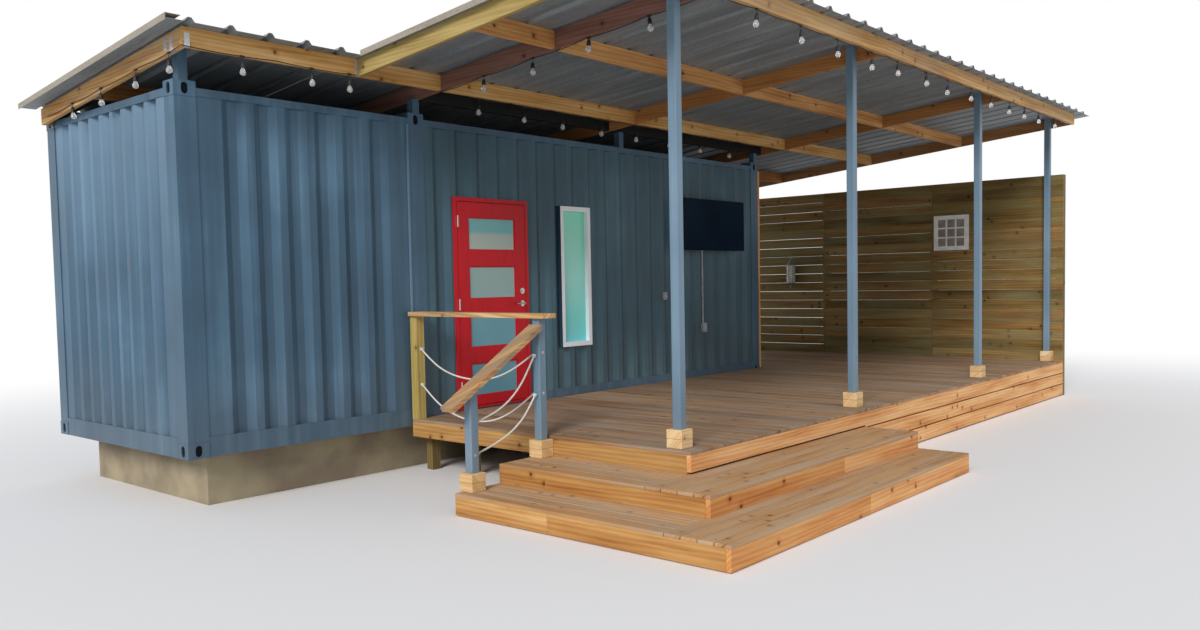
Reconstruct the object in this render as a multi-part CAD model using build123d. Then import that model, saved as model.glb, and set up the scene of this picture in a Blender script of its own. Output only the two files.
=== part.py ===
from build123d import *
import math
import os

# A cabin made of a 20 ft high-cube shipping container with a short container section joined to its
# left end, on rendered masonry walls. A timber deck with wrap-around steps runs along the front
# and past the right end, under one skillion roof of ribbed sheet on timber rafters and steel posts.
# Millimetres. X runs right along the front, Y runs back, Z runs up from the ground, and X = Y = 0
# is the front left corner of the short section. Everything is moved to the middle of its
# footprint when it is written.

# Levels above the ground
container_base = 418.0
deck_top = 488.0
middle_step_top = 323.0
lower_step_top = 171.0

# Container shells
container_height = 2896.0
container_width = 2438.0
short_length = 2190.0
long_length = 6058.0
seam_width = 20.0
casting_length = 178.0
casting_width = 162.0
casting_height = 118.0
casting_hole_radius = 28.0
casting_hole_half = 17.0
casting_hole_depth = 40.0
casting_hole_facets = 6
casting_rise = 48.0
post_inset = 4.0
top_rail = 60.0
bottom_rail_height = 158.0
bottom_rail_width = 50.0
rail_inset = 5.0
skin_inset = 12.0
steel = 2.0
side_pitch = 278.0
side_depth = 36.0
side_flat = 72.0
end_pitch = 209.0
end_depth = 40.0
end_flat = 60.0
roof_pitch = 209.0
roof_wave = 20.0
roof_flat = 60.0
floor_board = 28.0
floor_level = 152.0
crossmember_pitch = 560.0
crossmember_width = 45.0

# Masonry walls under the containers
footing_wall = 200.0
footing_inset_y = 200.0
footing_inset_x = 250.0

# Door, measured in X from the left corner and in Z from the container base
door_left = 2725.0
door_width = 1005.0
door_bottom = 85.0
door_height = 2070.0
jamb_width = 40.0
jamb_front = -8.0
jamb_depth = 116.0
sill_height = 20.0
leaf_gap = 6.0
leaf_thickness = 44.0
leaf_stile = 140.0
leaf_top_rail = 145.0
leaf_bottom_rail = 89.0
lite_count = 4
lite_bar = 155.0
lite_inset = 12.0
lite_bead = 8.0
glass_thickness = 20.0
stop_width = 14.0
stop_clearance = 6.0
hinge_radius = 6.5
hinge_pin_radius = 3.5
hinge_pin_clearance = 0.3
hinge_knuckle = 36.0
hinge_knuckle_gap = 0.4
hinge_forward = 8.0
hinge_plate = 2.5
hinge_plate_width = 34.0
hinge_end = 190.0
lever_height = 1100.0
deadbolt_height = 1228.0
lock_backset = 58.0
rosette_radius = 31.0
rosette_thickness = 8.0
lever_reach = 46.0
lever_length = 112.0
lever_bar = 16.0
bolt_boss = 14.0
bar_sides = 16

# Window
window_left = 4230.0
window_width = 487.0
window_bottom = 605.0
window_height = 1525.0
window_bar = 50.0
window_proud = 24.0
window_depth = 84.0
window_glass = 20.0

# Deck
deck_left = 2161.0
deck_front = -3162.0
deck_board = 25.0
deck_wall_gap = 6.0
timber = 38.0
fascia_height = 140.0
front_fascia_height = 124.0
skirt_gap = 14.0
bearer_height = 140.0
leg = 89.0
leg_columns = 6
porch_bearer_rows = (-3060.0, -2450.0, -1850.0, -1230.0, -620.0, -60.0)
lounge_bearer_rows = (540.0, 1150.0, 1760.0, 2350.0)

# Steps
middle_run_left = 499.0
middle_run_front = 503.0
lower_run_left = 457.0
lower_run_front = 455.0
step_back = -1685.0
step_right = 4977.0
step_legs = 4

# Posts and rails
tube = 76.0
tube_round = 8.0
tube_wall = 3.0
block = 140.0
stair_block_depth = 95.0
porch_post_x = (2282.0, 5090.0, 8377.0, 11060.0)
porch_post_y = -2975.0
wall_post = 89.0
rail_bottom = 1025.0
rail_thickness = 38.0
rail_width = 140.0
rail_overhang = 130.0
upper_post_x = 2088.0
lower_post_x = 1340.0
stair_post_y = -1735.0
plank_width = 140.0
plank_top = 975.0
plank_slope = 31.0
plank_tail = 240.0
plank_gap = 0.3

# Roof
slope = 0.096
timber_bottom = 3029.0
timber_height = 140.0
rake_rafter_x = 1450.0
fascia_beam_front = -3293.0
porch_beam_front = -1760.0
wall_beam_front = -345.0
container_beam_front = 31.0
back_beam_front = 1250.0
rear_beam_front = 2262.0
rake_beam_left = -90.0
fascia_beam_overhang = 22.0
stub = 76.0
stub_y = 10.0
stub_left = 45.0
stub_middle_x = 5280.0
stub_seam_margin = 85.0
stub_end_margin = 5.0
sheet_steel = 2.0
sheet_pitch = 320.0
sheet_rib = 32.0
sheet_rib_base = 80.0
sheet_rib_top = 28.0
sheet_gap = 0.3
main_sheet_left = 1380.0
main_sheet_right = 11560.0
main_sheet_front = -3380.0
left_sheet_left = -257.0
left_sheet_front = -450.0
sheet_rear = 2345.0
flashing_height = 45.0
flashing_cover = 110.0
flashing_steel = 3.0

# Screen at the right end of the deck, and the corner post
screen_board = 138.0
screen_gap = 7.0
screen_board_thickness = 22.0
screen_boards = 18
screen_post_gap = 5.0
screen_post_y = (-3117.0, -1300.0, 500.0)
corner_board = 40.0
corner_board_depth = 45.0

# Fittings
tv_left = 6340.0
tv_width = 1362.0
tv_bottom = 1680.0
tv_height = 640.0
tv_thickness = 48.0
tv_standoff = 92.0
tv_bracket = 420.0
tv_bezel = 10.0
tv_screen_recess = 3.0
pane_y = -1595.0
pane_size = 520.0
pane_bottom = 1675.0
pane_thickness = 24.0
pane_bar = 22.0
pane_border = 62.0
lantern_y = 1080.0
lantern_bottom = 1150.0
lantern_radius = 62.0
lantern_plate = 12.0
lantern_cage_height = 266.0
lantern_cage_radius = 50.0
lantern_cap_height = 76.0
lantern_tip_radius = 15.0
lantern_plate_span = (95.0, 285.0)
lantern_plate_half = 31.0
lantern_arm_span = (209.0, 236.0)
lantern_arm_half = 8.0

# Rope rails: the knots and the routes of the rope between them, heights from the ground
rope_radius = 8.0
knot_radius = 15.0
knot_half = 12.0
knot_end_radius = 9.0
knot_shank_radius = 7.0
cord_sides = 6
landing_upper_route = (
    (2197, -124, 1132), (2190, -252, 1046), (2181, -398, 974), (2172, -560, 926),
    (2162, -735, 902), (2152, -915, 896), (2142, -1095, 915), (2131, -1268, 962),
    (2120, -1430, 1030), (2110, -1568, 1104), (2104, -1664, 1158),
)
landing_lower_route = (
    (2197, -124, 803), (2190, -250, 712), (2181, -395, 632), (2172, -556, 575),
    (2162, -730, 541), (2152, -912, 533), (2142, -1094, 553), (2131, -1268, 608),
    (2120, -1430, 688), (2110, -1568, 776), (2104, -1664, 838),
)
stair_upper_route = (
    (2023, -1735, 1136), (1966, -1735, 1052), (1898, -1735, 956), (1818, -1735, 872),
    (1722, -1735, 800), (1612, -1735, 746), (1504, -1735, 712), (1410, -1735, 690),
)
stair_lower_route = (
    (2023, -1735, 818), (1962, -1735, 738), (1888, -1735, 656), (1800, -1735, 590),
    (1704, -1735, 540), (1602, -1735, 502), (1502, -1735, 472), (1410, -1735, 450),
)
arc_share = 0.45

# Light cable clipped under and along the timbers
cable_radius = 4.0
clip_gap = 0.3
cable_corner = 15.0
cable_corner_out = 9.5
cable_height_share = 1 / 3
cable_lead = 300.0
cable_lead_arc = 300.0

# Worked out from the sizes above
total_length = short_length + seam_width + long_length
long_start = short_length + seam_width
shell_top = container_height - casting_rise
wall_top = shell_top - top_rail
deck_back = container_width
stub_x = (stub_left, short_length + stub_seam_margin, stub_middle_x,
          total_length - stub - stub_end_margin)
screen_x = porch_post_x[-1] + block / 2 + screen_post_gap
deck_right = screen_x + screen_board_thickness
rafter_offset = (tube + timber) / 2
rafter_x = tuple(x + rafter_offset for x in porch_post_x)
fascia_beam_back = fascia_beam_front + timber
beam_right = rafter_x[-1] + timber / 2
footprint_left = left_sheet_left - flashing_steel
footprint_front = deck_front - middle_run_front - lower_run_front
origin_x = (footprint_left + main_sheet_right) / 2
origin_y = (footprint_front + container_width) / 2
roof_angle = math.degrees(math.atan(slope))


def block_at(x0, x1, y0, y1, z0, z1):
    """A box between two corners."""
    return Pos((x0 + x1) / 2, (y0 + y1) / 2, (z0 + z1) / 2) * Box(x1 - x0, y1 - y0, z1 - z0)


def up(z):
    """A height above the container base, as a height above the ground."""
    return container_base + z


def round_bar(radius, length):
    """A thin round bar along Z about the origin, made of flats."""
    return extrude(RegularPolygon(radius, bar_sides), length / 2, both=True)


def timber_line(y):
    """Height above the ground of the underside of the roof timbers at a depth y."""
    return up(timber_bottom - slope * y)


def wave_line(length, pitch, depth, flat):
    """Corrugation as (along, inwards) points, with equal plain margins at both ends."""
    slant = pitch / 2 - flat
    waves = int((length - flat) // pitch)
    margin = (length - waves * pitch) / 2
    points = [(0, 0)]
    for i in range(waves):
        start = margin + i * pitch + flat / 2
        points += [
            (start, 0),
            (start + slant, depth),
            (start + slant + flat, depth),
            (start + 2 * slant + flat, 0),
        ]
    points.append((length, 0))
    return points


def corrugated(length, height, pitch, depth, flat):
    """Upright corrugated sheet from the origin along +X, waves going in +Y."""
    line = wave_line(length, pitch, depth, flat)
    back = [(s, d + steel) for s, d in reversed(line)]
    return extrude(make_face(Polyline(*line, *back, close=True)), height)


def oval_hole():
    """Oval hole of a corner casting, each rounded end made of a few flats."""
    points = []
    for side in (1, -1):
        for i in range(casting_hole_facets + 1):
            turn = math.pi * (0.5 - i / casting_hole_facets)
            across = casting_hole_half + casting_hole_radius * math.cos(turn)
            points.append((side * across, side * casting_hole_radius * math.sin(turn)))
    return make_face(Polyline(*points, close=True))


def casting(flip_x, flip_y, flip_z):
    """Corner casting with its outer corner at the origin and oval holes in the three outer faces."""
    body = block_at(0, casting_length, 0, casting_width, 0, casting_height)
    slot = oval_hole()
    middle_x, middle_y, middle_z = casting_length / 2, casting_width / 2, casting_height / 2
    upright = {"x_dir": (0, 0, 1)}
    front = Plane((middle_x, 0, middle_z), z_dir=(0, 1, 0), **upright) * slot
    side = Plane((0, middle_y, middle_z), z_dir=(1, 0, 0), **upright) * slot
    under = Plane((middle_x, middle_y, 0)) * slot
    for face in (front, side, under):
        body -= extrude(face, casting_hole_depth)
    if flip_x:
        body = mirror(body, Plane.YZ)
    if flip_y:
        body = mirror(body, Plane.XZ)
    if flip_z:
        body = mirror(body, Plane.XY)
    return body


def corner_box(x, right, rear, low, high, inset=0.0):
    """The space of one corner post, x being the container's end on that side."""
    y = container_width if rear else 0
    side_x, side_y = (-1 if right else 1), (-1 if rear else 1)
    xs = sorted((x + side_x * inset, x + side_x * casting_length))
    ys = sorted((y + side_y * inset, y + side_y * casting_width))
    return block_at(*xs, *ys, low, high)


def corner_post(x, right, rear):
    """One corner post with its two castings, which stand slightly proud of it."""
    y = container_width if rear else 0
    bottom, top = container_base, up(container_height)
    shaft = corner_box(x, right, rear, bottom + casting_height, top - casting_height, post_inset)
    foot = Pos(x, y, bottom) * casting(right, rear, False)
    head = Pos(x, y, top) * casting(right, rear, True)
    return shaft + foot + head


corners = [(x, right, rear) for x, right in ((0.0, False), (long_start, False), (total_length, True))
           for rear in (False, True)]
door_hole = block_at(door_left, door_left + door_width, -casting_width, jamb_front + jamb_depth,
                     up(door_bottom), up(door_bottom + door_height))
window_hole = block_at(window_left, window_left + window_width, -casting_width, casting_width,
                       up(window_bottom), up(window_bottom + window_height))


def side_rails(x0, x1):
    """Front and rear top and bottom rails between two posts."""
    made = []
    for width, low, high in ((top_rail, wall_top, shell_top),
                             (bottom_rail_width, 0, bottom_rail_height)):
        near = (rail_inset, rail_inset + width)
        far = (container_width - near[1], container_width - near[0])
        made += [block_at(x0, x1, *span, up(low), up(high)) for span in (near, far)]
    return made


def end_rails(x, right, sill_top):
    """Header and sill across one end, between the two posts."""
    side = -1 if right else 1
    y0, y1 = casting_width, container_width - casting_width
    header = sorted((x + side * rail_inset, x + side * (rail_inset + top_rail)))
    sill = sorted((x + side * rail_inset, x + side * (rail_inset + bottom_rail_width)))
    return [
        block_at(*header, y0, y1, up(wall_top), up(shell_top)),
        block_at(*sill, y0, y1, container_base, up(sill_top)),
    ]


def seam_strips():
    """Upright steel strips that close the seam between the two lengths, front and rear."""
    depth = rail_inset + bottom_rail_width
    made = []
    for y0, y1 in ((0, depth), (container_width - depth, container_width)):
        made.append(block_at(short_length, long_start, y0, y1,
                             up(bottom_rail_height), up(wall_top)))
    return made


def side_wall(x0, x1, rear=False):
    """Corrugated side wall between two posts, standing on the bottom rail."""
    sheet = corrugated(x1 - x0, wall_top - bottom_rail_height, side_pitch, side_depth, side_flat)
    if rear:
        sheet = mirror(sheet, Plane.XZ)
    y = container_width - skin_inset if rear else skin_inset
    return Pos(x0, y, up(bottom_rail_height)) * sheet


def end_wall(x, right):
    """Corrugated end wall between the end posts, x being the container's end."""
    length = container_width - 2 * casting_width
    sheet = corrugated(length, wall_top - bottom_rail_height, end_pitch, end_depth, end_flat)
    sheet = Rot(0, 0, 90) * mirror(sheet, Plane.XZ)
    if right:
        sheet = mirror(sheet, Plane.YZ)
    inset = -skin_inset if right else skin_inset
    return Pos(x + inset, casting_width, up(bottom_rail_height)) * sheet


def roof_panel(x0, x1):
    """Container roof sheet with waves across its width, between the top rails."""
    inner = rail_inset + top_rail
    sheet = corrugated(x1 - x0, container_width - 2 * inner, roof_pitch, roof_wave, roof_flat)
    sheet = Rot(90, 0, 0) * mirror(sheet, Plane.XZ)
    panel = Pos(x0, container_width - inner, up(shell_top)) * sheet
    for corner in corners:
        panel -= corner_box(*corner, up(wall_top), up(container_height))
    return panel


def container_shell():
    """Steel frames, walls and roofs of the two container lengths."""
    far = total_length
    short_span = (casting_length, short_length)
    long_span = (long_start + casting_length, far - casting_length)
    inner_end = rail_inset + top_rail
    front = side_wall(*long_span)
    reach = casting_width
    low, high = up(bottom_rail_height), up(wall_top)
    door_right = door_left + door_width
    left_part = front & block_at(long_span[0], door_left, 0, reach, low, high)
    over_part = front & block_at(door_left, door_right, 0, reach,
                                 up(door_bottom + door_height), high)
    right_part = front & block_at(door_right, long_span[1], 0, reach, low, high)
    long_rails = side_rails(*long_span)
    long_rails += end_rails(long_start, False, floor_level - floor_board)
    long_rails += end_rails(far, True, bottom_rail_height)
    short_rails = side_rails(casting_length, long_start) + end_rails(0, False, bottom_rail_height)
    return {
        "corner_posts": [corner_post(*corner) for corner in corners],
        "short_rails": short_rails,
        "seam_strips": seam_strips(),
        "long_rails": [rail - door_hole for rail in long_rails],
        "short_front_wall": [side_wall(*short_span)],
        "rear_walls": [side_wall(*short_span, rear=True), side_wall(*long_span, rear=True)],
        "end_walls": [end_wall(0, False), end_wall(far, True)],
        "front_wall_left": [left_part],
        "front_wall_over_door": [over_part],
        "front_wall_right": [right_part - window_hole],
        "container_roofs": [roof_panel(inner_end, short_length),
                            roof_panel(long_start + inner_end, far - inner_end)],
    }


def floors():
    """Plywood floors on steel crossmembers between the bottom side rails."""
    y0 = rail_inset + bottom_rail_width
    y1 = container_width - y0
    top = up(floor_level)
    bottom = top - floor_board
    spans = ((y0, short_length), (long_start, total_length - y0))
    boards = [block_at(a, b, y0, y1, bottom, top) for a, b in spans]
    members = []
    for a, b in ((casting_length, short_length), (long_start + casting_length,
                                                  total_length - casting_length)):
        count = int((b - a - crossmember_width) // crossmember_pitch) + 2
        pitch = (b - a - crossmember_width) / (count - 1)
        for i in range(count):
            x = a + i * pitch
            members.append(block_at(x, x + crossmember_width, y0, y1, container_base, bottom))
    for corner in corners:
        space = corner_box(*corner, container_base, top)
        boards = [board - space for board in boards]
    return {
        "container_floor": [board - door_hole for board in boards],
        "floor_crossmembers": [member - door_hole for member in members],
    }


def foundation():
    """Masonry walls under the containers: two along their length and two across the ends."""
    x0, x1 = footing_inset_x, total_length - footing_inset_x
    y0, y1 = footing_inset_y, container_width - footing_inset_y
    front = block_at(x0, x1, y0, y0 + footing_wall, 0, container_base)
    rear = block_at(x0, x1, y1 - footing_wall, y1, 0, container_base)
    across = (y0 + footing_wall, y1 - footing_wall, 0, container_base)
    left = block_at(x0, x0 + footing_wall, *across)
    right = block_at(x1 - footing_wall, x1, *across)
    return {"foundation_long_walls": [front, rear], "foundation_end_walls": [left, right]}


def leaf_box():
    """Left, right, bottom and top of the door leaf."""
    left = door_left + jamb_width + leaf_gap
    right = door_left + door_width - jamb_width - leaf_gap
    bottom = up(door_bottom + sill_height + leaf_gap)
    top = up(door_bottom + door_height - jamb_width - leaf_gap)
    return left, right, bottom, top


def door_frame():
    """Jambs with their stops, head and sill."""
    x0, x1 = door_left, door_left + door_width
    z0, z1 = up(door_bottom), up(door_bottom + door_height)
    y0, y1 = jamb_front, jamb_front + jamb_depth
    low, high = z0 + sill_height, z1 - jamb_width
    stop_y = jamb_front + leaf_thickness + stop_clearance
    jambs = []
    for outer, side in ((x0, 1), (x1, -1)):
        inner = outer + side * jamb_width
        post = block_at(*sorted((outer, inner)), y0, y1, low, high)
        lip = sorted((inner, inner + side * stop_width))
        jambs.append(post + block_at(*lip, stop_y, y1, low, high))
    head = block_at(x0, x1, y0, y1, high, z1)
    head += block_at(x0 + jamb_width + stop_width, x1 - jamb_width - stop_width, stop_y, y1,
                     high - stop_width, high)
    sill = block_at(x0, x1, y0, y1, z0, low)
    return {"door_jambs": jambs, "door_head_and_sill": [head, sill]}


def door_leaf():
    """Leaf with four glazed lights, each with a raised bead round it on both faces."""
    left, right, bottom, top = leaf_box()
    back = jamb_front + leaf_thickness
    leaf = block_at(left, right, jamb_front, back, bottom, top)
    clear = top - bottom - leaf_top_rail - leaf_bottom_rail - (lite_count - 1) * lite_bar
    lite = clear / lite_count
    a, b = left + leaf_stile, right - leaf_stile
    glass_y = jamb_front + (leaf_thickness - glass_thickness) / 2
    panes = []
    for i in range(lite_count):
        low = bottom + leaf_bottom_rail + i * (lite + lite_bar)
        high = low + lite
        leaf -= block_at(a, b, jamb_front, back, low, high)
        bead = block_at(a, b, jamb_front + lite_bead, back - lite_bead, low, high)
        bead -= block_at(a + lite_inset, b - lite_inset, jamb_front, back,
                         low + lite_inset, high - lite_inset)
        leaf += bead
        leaf -= block_at(a, b, glass_y, glass_y + glass_thickness, low, high)
        panes.append(block_at(a, b, glass_y, glass_y + glass_thickness, low, high))
    return {"door_leaf": [leaf], "door_glass": panes}


def hinge_axis():
    """X and Y of the door's hinge line."""
    return door_left + jamb_width + leaf_gap / 2, jamb_front - hinge_forward


def hinges():
    """Three butt hinges: outer knuckles, pin and plate on the jamb, one knuckle on the leaf."""
    x, y = hinge_axis()
    left, right, bottom, top = leaf_box()
    step = hinge_knuckle + hinge_knuckle_gap
    fixed = []
    moving = []
    face = jamb_front - hinge_plate
    jamb_edge = door_left + jamb_width
    swing = hinge_radius + 2 * hinge_knuckle_gap
    for z in (bottom + hinge_end, (bottom + top) / 2, top - hinge_end):
        plate_low, plate_high = z - step - hinge_knuckle / 2, z + step + hinge_knuckle / 2
        plate = block_at(jamb_edge - hinge_plate_width, jamb_edge, face, jamb_front,
                         plate_low, plate_high)
        plate -= block_at(x - swing, jamb_edge, face, jamb_front, z - step / 2, z + step / 2)
        pin = Pos(x, y, z) * Cylinder(hinge_pin_radius, plate_high - plate_low)
        half = plate + pin
        for offset in (-step, step):
            knuckle = Pos(x, y, z + offset) * round_bar(hinge_radius, hinge_knuckle)
            neck = block_at(x - hinge_radius, x, y, jamb_front,
                            z + offset - hinge_knuckle / 2, z + offset + hinge_knuckle / 2)
            half += knuckle + neck
        fixed.append(half)
        knuckle = Pos(x, y, z) * round_bar(hinge_radius, hinge_knuckle)
        neck = block_at(x, x + hinge_radius, y, jamb_front,
                        z - hinge_knuckle / 2, z + hinge_knuckle / 2)
        plate = block_at(left, left + hinge_plate_width, face, jamb_front, plate_low, plate_high)
        plate -= block_at(left, x + swing, face, jamb_front,
                          plate_low, z - hinge_knuckle / 2)
        plate -= block_at(left, x + swing, face, jamb_front,
                          z + hinge_knuckle / 2, plate_high)
        bore = Pos(x, y, z) * Cylinder(hinge_pin_radius + hinge_pin_clearance, 2 * hinge_knuckle)
        moving.append(knuckle + neck + plate - bore)
    return {"hinge_jamb_halves": fixed, "hinge_leaf_halves": moving}


def lockset():
    """Lever and deadbolt on both faces of the leaf."""
    left, right, bottom, top = leaf_box()
    x = right - lock_backset
    made = []
    for face, out in ((jamb_front, -1), (jamb_front + leaf_thickness, 1)):
        lever_y = face + out * lever_reach
        rose = Pos(x, face + out * rosette_thickness / 2, up(lever_height))
        lever = rose * (Rot(90, 0, 0) * round_bar(rosette_radius, rosette_thickness))
        neck = Pos(x, face + out * lever_reach / 2, up(lever_height))
        lever += neck * (Rot(90, 0, 0) * round_bar(lever_bar / 2, lever_reach))
        bar = Pos(x - lever_length / 2, lever_y, up(lever_height))
        lever += bar * (Rot(0, 90, 0) * round_bar(lever_bar / 2, lever_length + lever_bar))
        bolt_rose = Pos(x, face + out * rosette_thickness / 2, up(deadbolt_height))
        bolt = bolt_rose * (Rot(90, 0, 0) * round_bar(rosette_radius, rosette_thickness))
        boss = Pos(x, face + out * rosette_thickness, up(deadbolt_height))
        bolt += boss * (Rot(90, 0, 0) * round_bar(bolt_boss, 2 * rosette_thickness))
        made += [lever, bolt]
    return {"door_lockset": made}


def window():
    """Fixed narrow window: a frame with a sloped sill nose, and its pane."""
    x0, x1 = window_left, window_left + window_width
    z0, z1 = up(window_bottom), up(window_bottom + window_height)
    y0 = skin_inset - window_proud
    y1 = y0 + window_depth
    ring = block_at(x0, x1, y0, y1, z0, z1)
    inner = (x0 + window_bar, x1 - window_bar)
    ring -= block_at(*inner, y0, y1, z0 + window_bar, z1 - window_bar)
    glass_y = skin_inset + window_proud
    pane = block_at(*inner, glass_y, glass_y + window_glass, z0 + window_bar, z1 - window_bar)
    return {"window_frame": [ring], "window_glass": [pane]}


def edge_boards(x0, x1, y0, y1, top, rows):
    """Rows of edge boards below a level, with gaps between them."""
    made = []
    for i in range(rows):
        high = top - i * (fascia_height + skirt_gap)
        made.append(block_at(x0, x1, y0, y1, max(high - fascia_height, 0), high))
    return made


def deck():
    """Porch and lounge deck, its edge boards down to the ground, bearers and legs."""
    under = deck_top - deck_board
    wall_y = -deck_wall_gap
    lounge_x = total_length + deck_wall_gap
    boards = block_at(deck_left, deck_right, deck_front, wall_y, under, deck_top)
    boards += block_at(lounge_x, deck_right, wall_y, deck_back, under, deck_top)
    rows = int(under // (fascia_height + skirt_gap))
    front_in = deck_front + timber
    stair_front = block_at(deck_left, step_right, deck_front, front_in,
                           under - front_fascia_height, under)
    front = [stair_front]
    front += edge_boards(step_right, deck_right, deck_front, front_in, under, 1)
    front[0] = front[0] + front.pop(1)
    front += edge_boards(step_right + timber, deck_right, deck_front, front_in, under, rows)[1:]
    front += edge_boards(lounge_x, deck_right, deck_back - timber, deck_back, under, rows)
    sides = edge_boards(deck_left, deck_left + timber, front_in, wall_y, under, 1)
    sides += edge_boards(deck_right - timber, deck_right, front_in, deck_back - timber,
                         under, rows)
    low = under - bearer_height
    bearers = [block_at(deck_left + timber, deck_right - timber, y - timber, y, low, under)
               for y in porch_bearer_rows]
    bearers += [block_at(lounge_x, deck_right - timber, y - timber, y, low, under)
                for y in lounge_bearer_rows]
    pitch = (deck_right - deck_left - 4 * leg) / (leg_columns - 1)
    columns = [deck_left + 2 * leg + i * pitch for i in range(leg_columns)]
    spots = [(x, y) for y in porch_bearer_rows[::2] + porch_bearer_rows[-1:] for x in columns]
    spots += [(x, y) for y in lounge_bearer_rows[1::2] for x in columns if x - leg > lounge_x]
    legs = [block_at(x - leg / 2, x + leg / 2, y - (timber + leg) / 2, y + (leg - timber) / 2,
                     0, low) for x, y in spots]
    return {
        "deck_boards": [boards],
        "deck_front_and_back_boards": front,
        "deck_side_boards": sides,
        "deck_bearers": bearers,
        "deck_legs": legs,
    }


def step(top, below, inner_left, inner_front, run_left, run_front):
    """One wrap-around step as a left run and a front run, with its edge boards and legs.

    inner_left and inner_front are the riser lines of the level above; the treads reach under it."""
    under = top - deck_board
    low = max(under - fascia_height, below)
    left, front = inner_left - run_left, inner_front - run_front
    inside_x, inside_y = inner_left + timber, inner_front + timber
    left_run = block_at(left, inside_x, inside_y, step_back, under, top)
    left_run += block_at(left, left + timber, inside_y, step_back, low, under)
    left_run += block_at(left, inner_left, step_back - timber, step_back, low, under)
    front_run = block_at(left, step_right, front, inside_y, under, top)
    front_run += block_at(left, step_right, front, front + timber, low, under)
    front_run += block_at(left, left + timber, front, inside_y, low, under)
    front_run += block_at(step_right - timber, step_right, front, inner_front, low, under)
    legs = []
    y = front + timber + leg
    span = step_right - left - 2 * timber - 2 * leg
    for i in range(step_legs):
        x = left + timber + leg + i * span / (step_legs - 1)
        legs.append(block_at(x - leg / 2, x + leg / 2, y - leg / 2, y + leg / 2, 0, under))
    x = left + timber + leg
    for y in (inside_y + leg, step_back - timber - leg):
        legs.append(block_at(x - leg / 2, x + leg / 2, y - leg / 2, y + leg / 2, 0, under))
    return left_run, front_run, legs


def steps():
    """The middle and the lower step round the deck's front left corner."""
    middle = step(middle_step_top, lower_step_top, deck_left, deck_front,
                  middle_run_left, middle_run_front)
    lower = step(lower_step_top, 0, deck_left - middle_run_left, deck_front - middle_run_front,
                 lower_run_left, lower_run_front)
    return {
        "middle_step_left": [middle[0]],
        "middle_step_front": [middle[1]],
        "lower_step_left": [lower[0]],
        "lower_step_front": [lower[1]],
        "step_legs": middle[2] + lower[2],
    }


def square_tube(x, y, z0, z1, size, corner):
    """Hollow square steel post with rounded or sharp outer corners."""
    outline = RectangleRounded(size, size, corner) if corner else Rectangle(size, size)
    outline -= Rectangle(size - 2 * tube_wall, size - 2 * tube_wall)
    return Pos(x, y, z0) * extrude(outline, z1 - z0)


def below_roof(x, y, reach, raise_by=0.0):
    """Wedge of space under the roof timbers' line round a post, from below the ground."""
    return sloped(x - reach, x + reach, y - reach, y + reach, -2 * timber_line(y), raise_by)


def posts():
    """Steel roof posts and stair posts, and the timber blocks they stand on."""
    half = block / 2
    blocks = [block_at(x - half, x + half, porch_post_y - half, porch_post_y + half,
                       deck_top, deck_top + block) for x in porch_post_x]
    depth = stair_block_depth / 2
    stair_spots = ((upper_post_x, middle_step_top), (lower_post_x, lower_step_top))
    blocks += [block_at(x - half, x + half, stair_post_y - depth, stair_post_y + depth,
                        z, z + block) for x, z in stair_spots]
    shafts = []
    for x in porch_post_x:
        shaft = square_tube(x, porch_post_y, deck_top + block,
                            timber_line(porch_post_y) + 2 * timber_height, tube, tube_round)
        shafts.append(shaft & below_roof(x, porch_post_y, tube, timber_height))
    shafts.append(square_tube(upper_post_x, stair_post_y, middle_step_top + block,
                              up(rail_bottom), tube, tube_round))
    lower = square_tube(lower_post_x, stair_post_y, lower_step_top + block, up(rail_bottom),
                        tube, tube_round)
    shafts.append(lower & under_plank())
    return {"post_blocks": blocks, "steel_posts": shafts}


def plank_line(x):
    """Height of the sloping rail's upper face at x."""
    drop = math.tan(math.radians(plank_slope)) * (upper_post_x - tube / 2 - x)
    return up(plank_top) - drop


def plank_depth():
    """The sloping rail's thickness, measured upright."""
    return rail_thickness / math.cos(math.radians(plank_slope))


def under_plank():
    """Space under the sloping rail round the lower stair post."""
    x0, x1 = lower_post_x - tube, lower_post_x + tube
    depth = plank_depth()
    outline = Polyline((x0, 0), (x1, 0), (x1, plank_line(x1) - depth),
                       (x0, plank_line(x0) - depth), close=True)
    face = Plane((0, stair_post_y + tube, 0), x_dir=(1, 0, 0), z_dir=(0, -1, 0))
    return extrude(face * make_face(outline), 2 * tube)


def rails():
    """Post at the wall, level rail to the upper stair post, and the sloping plank."""
    wall_x = deck_left + wall_post / 2
    wall_y = -deck_wall_gap - wall_post / 2
    half = wall_post / 2
    timber_post = block_at(wall_x - half, wall_x + half, wall_y - half, wall_y + half,
                           deck_top, up(rail_bottom))
    dx, dy = upper_post_x - wall_x, stair_post_y - wall_y
    length = math.hypot(dx, dy) + half + rail_overhang
    bar = Pos(length / 2 - half, 0, rail_thickness / 2) * Box(length, rail_width, rail_thickness)
    heading = math.degrees(math.atan2(dy, dx))
    rail = Pos(wall_x, wall_y, up(rail_bottom)) * (Rot(0, 0, heading) * bar)
    rail -= block_at(0, total_length, -deck_wall_gap, container_width, 0, up(container_height))
    x_high = upper_post_x - tube / 2 - plank_gap
    x_low = lower_post_x - plank_tail
    turn = math.radians(plank_slope)
    shift = rail_thickness * math.sin(turn)
    drop = rail_thickness * math.cos(turn)
    outline = Polyline(
        (x_high, plank_line(x_high)), (x_low, plank_line(x_low)),
        (x_low + shift, plank_line(x_low) - drop),
        (x_high, plank_line(x_high) - plank_depth()), close=True)
    face = Plane((0, stair_post_y + plank_width / 2, 0), x_dir=(1, 0, 0), z_dir=(0, -1, 0))
    plank = extrude(face * make_face(outline), plank_width)
    return {"rail_wall_post": [timber_post], "level_rail": [rail], "sloping_rail": [plank]}


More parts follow.
